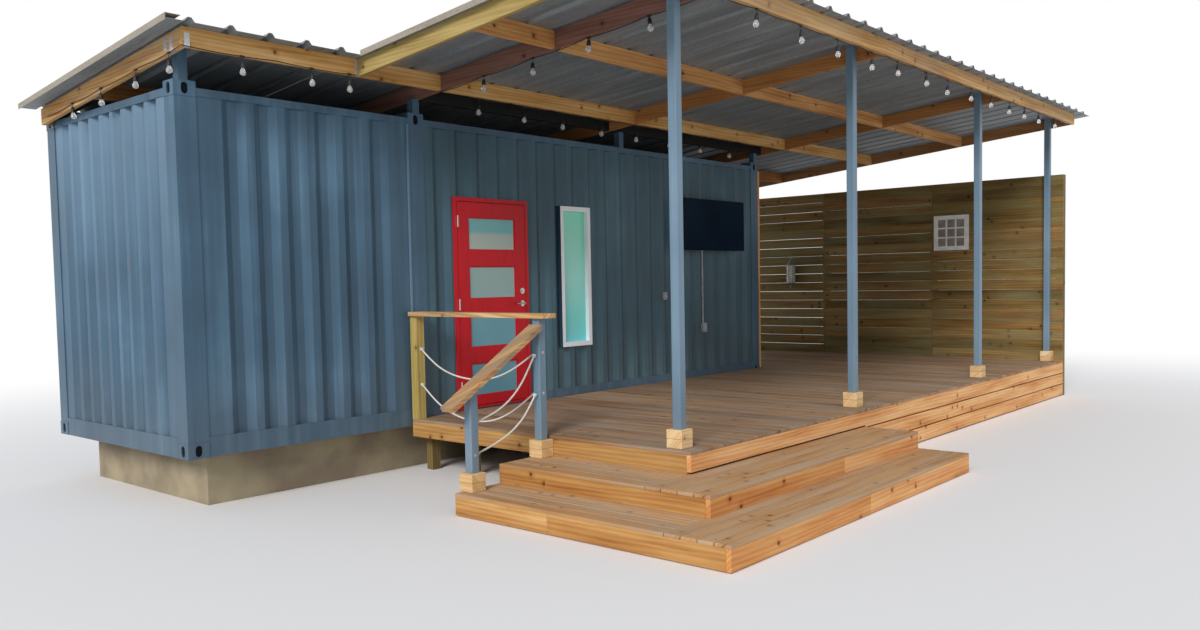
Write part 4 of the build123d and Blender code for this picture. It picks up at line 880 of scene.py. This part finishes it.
# single boards, blocks and battens, each with its own place in the grain
def cutBoards(name, boards, material, edge, seed):
    # every entry is (low, high, axis of the grain)
    chance = random.Random(seed)
    order = {"x": (0, 1, 2), "y": (1, 2, 0), "z": (2, 0, 1)}

    def build(shape):
        grain = shape.verts.layers.float_vector.new("grain")
        tone = shape.verts.layers.float.new("tone")
        for low, high, axis in boards:
            before = set(shape.verts)
            addBox(shape, low, high, edge)
            shift = Vector((chance.uniform(0, 20), chance.uniform(0, 20), 0))
            shade = chance.random()
            for vert in set(shape.verts) - before:
                vert[grain] = Vector([vert.co[k] for k in order[axis]]) + shift
                vert[tone] = shade

    mesh = meshOf(name, build)
    mesh.materials.append(material)
    return addObject(name, mesh)


steps = {
    "tread": 0.025, "board": 0.038, "gap": 0.006, "edge": 0.004, "rows": 4, "wander": (0.001, 0.0004),
    "backY": -1.685, "rightX": 4.977, "cornerGap": 0.002, "joint": 0.0005, "behind": 0.0003, "boardEdge": 0.003,
    "screwSunk": 0.0009, "screwIn": 0.06, "leftJoist": -2.45, "frontJoists": (2.45, 3.28, 4.11),
    "middle": {"top": 0.323, "low": 0.171, "outX": 1.662, "outY": -3.665, "inX": 2.199, "inY": -3.124,
               "innerX": 2.161, "innerY": -3.162, "leftJoints": (), "frontJoint": 3.55},
    "lower": {"top": 0.171, "low": 0.006, "outX": 1.205, "outY": -4.120, "inX": 1.700, "inY": -3.627,
              "innerX": 1.662, "innerY": -3.665, "leftJoints": (-2.63,), "frontJoint": 3.05},
}
for levelName in ("middle", "lower"):
    look = steps[levelName]
    top, low, outX, outY, inX, inY = (look[k] for k in ("top", "low", "outX", "outY", "inX", "inY"))
    board, back, right, joint, corner = (steps[k] for k in ("board", "backY", "rightX", "joint", "cornerGap"))
    under = top - steps["tread"]
    leftRun = boardsBetween(levelName + "LeftTreads", spot(outX, inY + corner, under), spot(inX, back, top),
                            "y", steps["rows"], steps["gap"], steps["edge"], treadOwn, 31, steps["wander"])
    frontRun = boardsBetween(levelName + "FrontTreads", spot(outX, outY, under), spot(right, inY - corner, top),
                             "x", steps["rows"], steps["gap"], steps["edge"], treadOwn, 37, steps["wander"])
    leftY = [outY + board, *look["leftJoints"], back]
    leftBoards = [(spot(outX, a + joint, low), spot(outX + board, b - joint, under), "y")
                  for a, b in zip(leftY, leftY[1:])]
    leftBoards.append((spot(outX + board, back - board, low), spot(look["innerX"], back, under), "x"))
    frontX = [outX, look["frontJoint"], right]
    frontBoards = [(spot(a + joint, outY + steps["behind"], low), spot(b - joint, outY + board, under), "x")
                   for a, b in zip(frontX, frontX[1:])]
    frontBoards.append((spot(right - board, outY + board, low), spot(right, look["innerY"], under), "y"))
    leftEdge = cutBoards(levelName + "LeftEdge", leftBoards, goldenOwn, steps["boardEdge"], 41)
    frontEdge = cutBoards(levelName + "FrontEdge", frontBoards, sunlitOwn, steps["boardEdge"], 43)
    finished(joined(levelName + "StepLeft", [leftRun, leftEdge]), "stair_timber", levelName + "_step_left")
    finished(joined(levelName + "StepFront", [frontRun, frontEdge]), "stair_timber", levelName + "_step_front")
    top -= steps["screwSunk"]
    inside = steps["screwIn"]
    screws = screwsBetween(levelName + "LeftScrews", spot(outX, inY, 0), spot(inX, back, 0), top,
                           [originY + y for y in (inY + inside, steps["leftJoist"], back - inside)],
                           "y", steps["rows"], steps["gap"], 51)
    screws += screwsBetween(levelName + "FrontScrews", spot(outX, outY, 0), spot(right, inY, 0), top,
                            [originX + x for x in (outX + inside, *steps["frontJoists"], right - inside)],
                            "x", steps["rows"], steps["gap"], 57)
    finished(joined(levelName + "StepScrews", screws), "post_steel")
print("stage: steps")

# two blocks of timber stacked under every post, as (x, y, foot, grain, lift off the deck)
blocks = {
    "half": 0.070, "edge": 0.004, "shy": 0.0012,
    "places": [(x, -2.975, 0.488, "x", 0.0003) for x in (2.282, 5.090, 8.377, 11.060)] + [
        (2.088, -1.735, 0.323, "y", 0.0), (1.340, -1.735, 0.171, "y", 0.0)],
}
half = blocks["half"]
stacked = []
for x, y, foot, axis, raised in blocks["places"]:
    for i in range(2):
        low = spot(x - half, y - half, foot + i * half)
        high = low + Vector((2 * half, 2 * half, half - blocks["shy"]))
        stacked.append((low + Vector((0, 0, raised)), high, axis))
finished(cutBoards("postBlocksStacked", stacked, fairOwn, blocks["edge"], 61), "stair_timber", "post_blocks")
print("stage: blocks,", len(stacked))

# screen boards between the posts, laid with small uneven gaps; one width and one wander for every bay
screen = {
    "pitch": 0.145, "boards": (0.1441, 0.1440, 0.1418), "wander": (0.00045, 0.0005, 0.0014), "count": 18,
    "joints": (-1.300, 0.500), "endGap": 0.001, "faceGap": 0.0003, "edge": 0.002,
    "nail": {"radius": 0.004, "height": 0.002, "wander": 0.003}, "nailPair": 0.08, "nailRise": 0.029, "nailOut": 0.0002,
    "nailRows": (-3.117, -1.330, -1.270, 0.470, 0.530, 2.281),
}
screenOwn = timber("weatheredScreenBoard", {
    "pale": "#ab8d56", "middle": "#8d7143", "dark": "#664f30", "knot": "#2c2013", "grey": "#7f7c52", "greyShare": 0.55,
    "tones": [(0.0, "#b0a58c"), (0.3, "#dcd6b8"), (0.6, "#f4dcc4"), (1.0, "#ffffff")]}, own=True)
screenLow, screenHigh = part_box("screen_boards")
bays = [screenLow.y, *(originY + y for y in screen["joints"]), screenHigh.y]
screenPieces = []
for i, (a, b) in enumerate(zip(bays, bays[1:])):
    side, endGap, faceGap = screen["wander"][i], screen["endGap"], screen["faceGap"]
    size = (b - a - 2 * endGap, screen["boards"][i], screenHigh.x - screenLow.x - 2 * faceGap)
    mesh = meshOf("screenBoard", lambda s: addBox(s, (0, 0, 0), size, screen["edge"]))
    bay = grown("screenBay" + str(i), boardRow, mesh, {
        "pitch": screen["pitch"], "count": screen["count"], "endWander": endGap, "sideWander": side,
        "liftWander": faceGap, "seed": 71 + i, "material": screenOwn})
    top = screenLow.z + (screen["count"] - 1) * screen["pitch"] + screen["boards"][i] + side
    foot = screenLow.z + side - max(0, top + side - screenHigh.z)
    bay.data.transform(Matrix.Translation((screenLow.x + faceGap, a + endGap, foot)) @ turnUp)
    screenPieces.append(bay)
finished(joined("screenBoardsNailed", screenPieces), "screen_timber", "screen_boards")
nailX, nailZ = screenLow.x - screen["nailOut"], screenLow.z + screen["nailRise"]
nails = [screwRow("screenNails" + str(i), screen["pitch"], screen["count"], screen["nailPair"], screen["nail"], 81 + i,
                  Matrix.Translation((nailX, originY + y, nailZ)) @ turnUp)
         for i, y in enumerate(screen["nailRows"])]
finished(joined("screenNails", nails), "post_steel")
print("stage: screen")


# television glass with its cable duct and outlet, and a small wall box further left
wallFittings = {
    "glass": ((6.3504, -0.1274, 2.1084), (7.6916, -0.1246, 2.7276)), "glassEdge": 0.0009,
    "duct": {"x": 6.908, "y": 0.0045, "top": 2.102, "low": 1.165, "width": 0.022, "deep": 0.016},
    "outlet": {"middle": (6.908, -0.0105, 1.110), "size": (0.086, 0.046, 0.120)},
    "box": {"middle": (6.082, -0.0055, 1.535), "size": (0.074, 0.036, 0.096)},
    "boxEdge": 0.008, "smallEdge": 0.004,
    # on the face of a box: share of its width, depth, height (the cover's as a share), shift as a share
    "cover": (0.78, 0.010, 0.62, -0.08), "strip": (0.6, 0.012, 0.010, 0.27),
}


def roundedPlate(shape, middle, size, edge):
    addBox(shape, [m - s / 2 for m, s in zip(middle, size)], [m + s / 2 for m, s in zip(middle, size)], edge, 3)


def buildScreen(shape):
    low, high = (spot(*p) for p in wallFittings["glass"])
    addBox(shape, low, high, wallFittings["glassEdge"])


def buildFittings(shape):
    duct, small = wallFittings["duct"], wallFittings["smallEdge"]
    roundedPlate(shape, spot(duct["x"], duct["y"], (duct["top"] + duct["low"]) / 2),
                 (duct["width"], duct["deep"], duct["top"] - duct["low"]), small)
    for item in (wallFittings["outlet"], wallFittings["box"]):
        middle, (width, deep, high) = spot(*item["middle"]), item["size"]
        roundedPlate(shape, middle, (width, deep, high), wallFittings["boxEdge"])
        share, thick, tall, shift = wallFittings["cover"]
        roundedPlate(shape, middle + Vector((0, -deep / 2, high * shift)), (width * share, thick, high * tall), small)
        share, thick, tall, shift = wallFittings["strip"]
        roundedPlate(shape, middle + Vector((0, -deep / 2, high * shift)), (width * share, thick, tall), small)


addPiece("televisionGlass", buildScreen, screenGlass, "black_plastic")
addPiece("wallOutletsAndDuct", buildFittings, greyPlastic, "black_plastic")

# panes behind the bars of the nine-pane frame
panes = {"low": 2.093, "edge": 0.062, "bar": 0.022, "size": 0.520, "left": -1.855, "faceX": 11.1195,
         "thick": 0.004, "overlap": 0.0003, "round": 0.001}
cell = (panes["size"] - 2 * panes["edge"] - 2 * panes["bar"]) / 3


def buildPanes(shape):
    starts = [panes["edge"] + i * (cell + panes["bar"]) - panes["overlap"] for i in range(3)]
    side = cell + 2 * panes["overlap"]
    for y in starts:
        for z in starts:
            low = spot(panes["faceX"], panes["left"] + y, panes["low"] + z)
            addBox(shape, low, low + Vector((panes["thick"], side, side)), panes["round"], 1)


addPiece("pictureFramePanes", buildPanes, paneGrey, "white_paint")

# wall lantern: six-sided cage with milky panes, bell cap, ring and a turned foot
lantern = {
    "x": 11.046, "y": 1.080, "wallX": 11.135, "low": 1.640, "high": 1.940, "radius": 0.070, "bar": 0.0055,
    "rail": 0.004, "lap": 0.002, "glassIn": 0.004, "ring": {"radius": 0.020, "rise": 0.108, "wire": 0.0032},
    "plate": {"thick": 0.012, "half": 0.036, "in": 0.050, "edge": 0.005},
    "arm": {"in": 0.090, "bow": 0.014, "wire": 0.005, "steps": 8, "reach": 0.87, "short": 0.010},
    "cap": [(0.080, 0.0), (0.082, 0.006), (0.076, 0.014), (0.058, 0.030), (0.040, 0.048), (0.026, 0.062),
            (0.018, 0.078), (0.010, 0.088), (0.006, 0.092)],
    "foot": [(0.004, -0.078), (0.009, -0.070), (0.011, -0.060), (0.006, -0.050), (0.014, -0.034), (0.030, -0.018),
             (0.064, -0.010), (0.074, -0.004), (0.074, 0.0)],
}


def lanternSpot(x, y, z):
    return spot(lantern["x"] + x, lantern["y"] + y, z)


def hexagon(radius, z):
    return [lanternSpot(radius * math.cos(a), radius * math.sin(a), z) for a in circle(6)]


def buildLantern(shape):
    low, high, radius, lap = (lantern[k] for k in ("low", "high", "radius", "lap"))
    lathe(shape, lantern["foot"], 24, lanternSpot(0, 0, low))
    lathe(shape, lantern["cap"], 24, lanternSpot(0, 0, high))
    for lower, upper in zip(hexagon(radius, low - lap), hexagon(radius, high + lap)):
        addTube(shape, [lower, upper], lantern["bar"], 8)
    for z in (low + lantern["rail"], (low + high) / 2, high - lantern["rail"]):
        corners = hexagon(radius, z)
        for a, b in zip(corners, corners[1:] + corners[:1]):
            addTube(shape, [a, b], lantern["rail"], 6)
    ring = lantern["ring"]
    loop = [lanternSpot(0, ring["radius"] * math.cos(a), high + ring["rise"] + ring["radius"] * math.sin(a))
            for a in circle(20)]
    addTube(shape, loop, ring["wire"], 6, closed=True)
    plate = lantern["plate"]
    addBox(shape, spot(lantern["wallX"] - plate["thick"], lantern["y"] - plate["half"], low + plate["in"]),
           spot(lantern["wallX"], lantern["y"] + plate["half"], high - plate["in"]), plate["edge"], 3)
    arm = lantern["arm"]
    start = radius * arm["reach"]
    reach = lantern["wallX"] - arm["short"] - lantern["x"] - start
    for z in (low + arm["in"], high - arm["in"]):  # scrolled arms back to the plate
        bowed = [lanternSpot(start + reach * t, 0, z + arm["bow"] * math.sin(math.pi * t))
                 for t in (i / arm["steps"] for i in range(arm["steps"] + 1))]
        addTube(shape, bowed, arm["wire"], 8)


def buildLanternGlass(shape):
    low, high, radius, lap = (lantern[k] for k in ("low", "high", "radius", "lap"))
    skin(shape, [hexagon(radius - lantern["glassIn"], z) for z in (low + lap, high - lap)])


addPiece("wallLanternMade", buildLantern, lanternZinc, "lantern_metal", "wall_lantern", rounded=40)
addPiece("wallLanternGlass", buildLanternGlass, lanternGlass, "frosted_glass")
print("stage: wall fittings, panes and lantern")

# zinc straps where the edge timbers meet, each a bent plate with screws
straps = {
    "plate": 0.0016, "tongue": 0.034, "screw": 0.005, "screwHead": 0.0022, "screwShares": (0.3, 0.6, 0.88),
    "rakeX": -0.090, "frontY": -0.345, "edge": 0.0006, "tongueEdge": 0.0005,
    "places": (  # face, start, width, foot and head over the timber's underside
        ("rake", -0.203, 0.048, -0.0042, 0.105), ("rake", -0.105, 0.040, 0.030, 0.118),
        ("front", -0.074, 0.042, -0.0042, 0.100), ("front", 1.398, 0.024, -0.0042, 0.132)),
}


def buildStraps(shape):
    thin = straps["plate"]
    for face, start, width, foot, head in straps["places"]:
        end, middle = start + width, start + width / 2
        under = timberUnder(middle if face == "rake" else straps["frontY"])

        def onFace(along, out, z):
            if face == "rake":
                return spot(straps["rakeX"] - out, along, under + z)
            return spot(along, straps["frontY"] - out, under + z)

        addBox(shape, onFace(start, thin, foot), onFace(end, 0, head), straps["edge"], 1)
        if foot < 0:  # bent under the timber
            addBox(shape, onFace(start, thin, foot), onFace(end, -straps["tongue"], foot + thin),
                   straps["tongueEdge"], 1)
        for share in straps["screwShares"]:
            z = foot + (head - foot) * share
            addTube(shape, [onFace(middle, thin + straps["screwHead"], z), onFace(middle, thin, z)],
                    straps["screw"], 8)


# bolt heads with washers on the front faces of the two stair posts
postBolts = {
    "faceY": -1.773, "in": 0.0005, "places": ((2.088, 1.165), (2.088, 0.840), (1.340, 0.441)),
    "steps": ((0.0128, 0.0012, 14), (0.0075, 0.005, 6)),  # radius, height and sides of washer and head
}


def buildSteelBits(shape):
    buildStraps(shape)
    for x, z in postBolts["places"]:
        middle = spot(x, postBolts["faceY"], z)
        for radius, high, sides in postBolts["steps"]:
            addTube(shape, [middle - Vector((0, high, 0)), middle + Vector((0, postBolts["in"], 0))], radius, sides)


addPiece("strapsAndBolts", buildSteelBits, strapZinc, "post_steel")

# dark plugs in the oval holes of the corner castings: painted shade for the hollow inside
castings = {
    "straight": 0.017, "round": 0.0265, "thick": 0.031, "depth": 0.010, "steps": 10,
    "length": 0.178, "width": 0.162, "middles": (0.477, 3.255), "sideY": (0.0, 2.438),
    "ends": ((0.0, -1, True), (2.210, -1, False), (8.268, 1, True)),  # corner, outward way, open end face
}


def ovalPlate(shape, middle, outward):
    across = Vector((0, 0, 1)).cross(outward)
    ring = []
    for way in (1, -1):
        for i in range(castings["steps"] + 1):
            turn = math.pi * i / castings["steps"]
            up = castings["straight"] + castings["round"] * math.sin(turn)
            ring.append(middle + Vector((0, 0, way * up)) + across * way * castings["round"] * math.cos(turn))
    skin(shape, [[p - outward * castings["thick"] for p in ring], ring])


def buildHollows(shape):
    for z in castings["middles"]:
        for x, side, openEnd in castings["ends"]:
            for y, face in zip(castings["sideY"], (-1, 1)):
                if openEnd:
                    ovalPlate(shape, spot(x - side * castings["depth"], y - face * castings["width"] / 2, z),
                              Vector((side, 0, 0)))
                ovalPlate(shape, spot(x - side * castings["length"] / 2, y - face * castings["depth"], z),
                          Vector((0, face, 0)))
    bmesh.ops.recalc_face_normals(shape, faces=shape.faces)


addPiece("castingHollows", buildHollows, hollowShade, "container_steel")

# roofing screws with washers beside every rib, in rows over the timbers
roofScrews = {
    "ribPitch": 0.320, "pair": 0.110, "head": {"radius": 0.010, "height": 0.005, "wander": 0.002},
    "over": 0.1447,  # from the timbers' underside up to the middle of a head
    "rows": {  # first rib, number of ribs, places up the slope
        "main": (1.615, 31, (-3.274, -1.741, -0.326, 2.275)),
        "left": (-0.134, 5, (-0.326, 2.275)),
    },
}
slope = math.atan(roofLine["fall"])
roofPieces = []
for key, (startX, number, rows) in roofScrews["rows"].items():
    for i, y in enumerate(rows):
        place = Matrix.Translation(spot(startX, y, timberUnder(y) + roofScrews["over"]))
        place = place @ Matrix.Rotation(-slope, 4, "X") @ Matrix.Rotation(-math.pi / 2, 4, "Z")
        roofPieces.append(screwRow(key + "RoofScrews" + str(i), roofScrews["ribPitch"], number, roofScrews["pair"],
                                   roofScrews["head"], 101 + i, place, strapZinc))
finished(joined("roofScrewHeads", roofPieces), "post_steel")
print("stage: straps, bolts, castings and roof screws")


# light string: cable clipped to the timbers in small swags, with lamps hanging from short leads
string = {
    "cable": 0.0035, "sides": 6, "clipPitch": 0.60, "sag": 0.012, "steps": 6,
    "joint": (0.0085, 0.017),  # radius and half length of the moulded joint over every lamp
    "lead": {"radius": 0.0022, "least": 0.010, "into": 0.004},
    "socket": {"radius": 0.0165, "height": 0.052}, "bulb": {"radius": 0.0235, "height": 0.058, "into": 0.001},
    "filament": {"wire": 0.0006, "stem": 0.0016, "top": -0.020, "drop": 0.016, "wide": 0.007, "bent": 0.002},
    "glassBelow": 0.083,  # from the socket's top down to the middle of the glass
    "swing": 0.10,
    # points are (x, y, rise over the timber's underside), bulbs are (x, y, drop of the glass below it)
    "runs": [
        {"points": ((-0.0995, 2.138, 0.040), (-0.0995, 1.000, 0.022), (-0.0995, -0.349, 0.004),
                    (0.650, -0.349, 0.006), (1.412, -0.349, 0.004)),
         "bulbs": ((-0.0995, -0.157, 0.130), (-0.0995, 0.389, 0.110), (-0.0995, 1.022, 0.098),
                   (-0.0995, 1.594, 0.080), (0.373, -0.3515, 0.125), (0.976, -0.3515, 0.125),
                   (1.335, -0.3515, 0.125))},
        {"points": ((2.339, -0.307, -0.0055), (2.339, -3.274, -0.0055), (11.04, -3.274, -0.0055)),
         "bulbs": ((2.339, -0.897, 0.114), (2.339, -1.491, 0.122), (2.339, -2.112, 0.100),
                   (2.339, -2.712, 0.100), (2.94, -3.274, 0.120), (3.607, -3.274, 0.130),
                   (4.236, -3.274, 0.140), (4.897, -3.274, 0.155), (5.447, -3.274, 0.125),
                   (6.117, -3.274, 0.130), (6.679, -3.274, 0.148), (7.352, -3.274, 0.125),
                   (7.971, -3.274, 0.118), (8.584, -3.274, 0.125), (9.116, -3.274, 0.120),
                   (9.662, -3.274, 0.122), (10.336, -3.274, 0.110))},
        {"points": ((2.639, -0.326, -0.0055), (8.434, -0.326, -0.0055)),
         "bulbs": ((2.792, -0.326, 0.144), (3.400, -0.326, 0.150), (3.961, -0.326, 0.158),
                   (4.586, -0.326, 0.165), (5.184, -0.326, 0.172), (5.80, -0.326, 0.180),
                   (6.414, -0.326, 0.190), (7.064, -0.326, 0.200))},
    ],
}
cableSpots, lampSpots, leads = [], [], []
for run in string["runs"]:
    corners = [Vector((x, y, timberUnder(y) + rise)) for x, y, rise in run["points"]]
    line = []
    for a, b in zip(corners, corners[1:]):
        swags = max(1, round((b - a).length / string["clipPitch"]))
        for i in range(swags * string["steps"]):
            share = i % string["steps"] / string["steps"]
            place = a.lerp(b, i / (swags * string["steps"]))
            place.z -= string["sag"] * 4 * share * (1 - share)
            line.append(place)
    line.append(corners[-1])
    cableSpots.append([spot(*p) for p in line])
    for x, y, drop in run["bulbs"]:
        flat = Vector((x, y))
        first, second = sorted(line, key=lambda p: (p.xy - flat).length)[:2]
        stretch = second.xy - first.xy
        heading = stretch.normalized()
        share = (flat - first.xy).dot(heading) / max(stretch.length, 1e-6)
        height = first.z + (second.z - first.z) * share
        top = min(timberUnder(y) - drop + string["glassBelow"], height - string["lead"]["least"])
        lampSpots.append(spot(x, y, top))
        leads.append((spot(x, y, height), Vector((*heading, 0)), spot(x, y, top)))


def runCables(shape):
    for line in cableSpots:
        addTube(shape, line, string["cable"], string["sides"])
    radius, half = string["joint"]
    lead = string["lead"]
    for top, heading, foot in leads:
        addTube(shape, [top + heading * half * share for share in (-1, -0.6, 0.6, 1)], radius, 8)
        addTube(shape, [top, foot - Vector((0, 0, lead["into"]))], lead["radius"], 6)


def socketShape(shape):
    r, h = string["socket"]["radius"], string["socket"]["height"]
    lathe(shape, [(r * 0.8, -h), (r * 1.06, -h), (r * 1.06, -h * 0.82), (r, -h * 0.80), (r, -0.028), (r * 0.92, -0.026),
                  (r * 0.92, -0.016), (0.0105, -0.010), (0.0060, -0.004), (0.0045, 0.002)], 16)


def bulbShape(shape):
    r, h = string["bulb"]["radius"], string["bulb"]["height"]
    lathe(shape, [(0.0025, -h), (0.0088, -0.0563), (0.0170, -0.051), (0.0222, -0.042), (r, -0.032), (0.0212, -0.022),
                  (0.0165, -0.014), (0.0132, -0.006), (0.013, 0.0)], 20)


def filamentShape(shape):
    # a stem with a drop-shaped loop of wire below it
    wire, stem, top, drop, wide, bent = string["filament"].values()
    lathe(shape, [(stem, top), (stem, 0.0)], 6)
    loop = [Vector((wide * math.sin(a) * (1 - 0.3 * math.sin(a / 2)), bent * math.sin(3 * a),
                    top - drop * (1 - math.cos(a)) / 2)) for a in circle(24)]
    addTube(shape, loop, wire, 4, closed=True)


cableMesh = meshOf("lightCableRun", runCables)
cableMesh.materials.append(blackRubber)
smooth(cableMesh, 50)
cablePiece = addObject("lightCableRun", cableMesh)
spotMesh = meshOf("lampSpots", lambda s: [s.verts.new(p) for p in lampSpots])
bulbDrop = string["bulb"]["into"] - string["socket"]["height"]
lampPieces = []
for name, build, rounded, drop, material in (
        ("stringSockets", socketShape, 40, 0, blackRubber), ("stringBulbs", bulbShape, 60, bulbDrop, clearGlass),
        ("stringFilaments", filamentShape, 0, bulbDrop, warmFilament)):
    mesh = meshOf(name + "Shape", build)
    if rounded:
        smooth(mesh, rounded)
    mesh.transform(Matrix.Translation((0, 0, drop)))
    fitting = addObject(name + "Shape", mesh)
    lampPieces.append(grown(name, fittingSpots, spotMesh, {
        "fitting": fitting, "swing": string["swing"], "seed": 91, "material": material}))
    bpy.data.objects.remove(fitting)
sockets, bulbs, filaments = lampPieces
finished(joined("lightCableWithSockets", [cablePiece, sockets]), "black_cable", "light_cables")
finished(bulbs, "frosted_glass")
finished(filaments, "lantern_metal")
print("stage: light string,", len(lampSpots), "bulbs")


size = {"cad": [list(v) for v in cadBox], "visual": [list(v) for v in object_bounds()]}
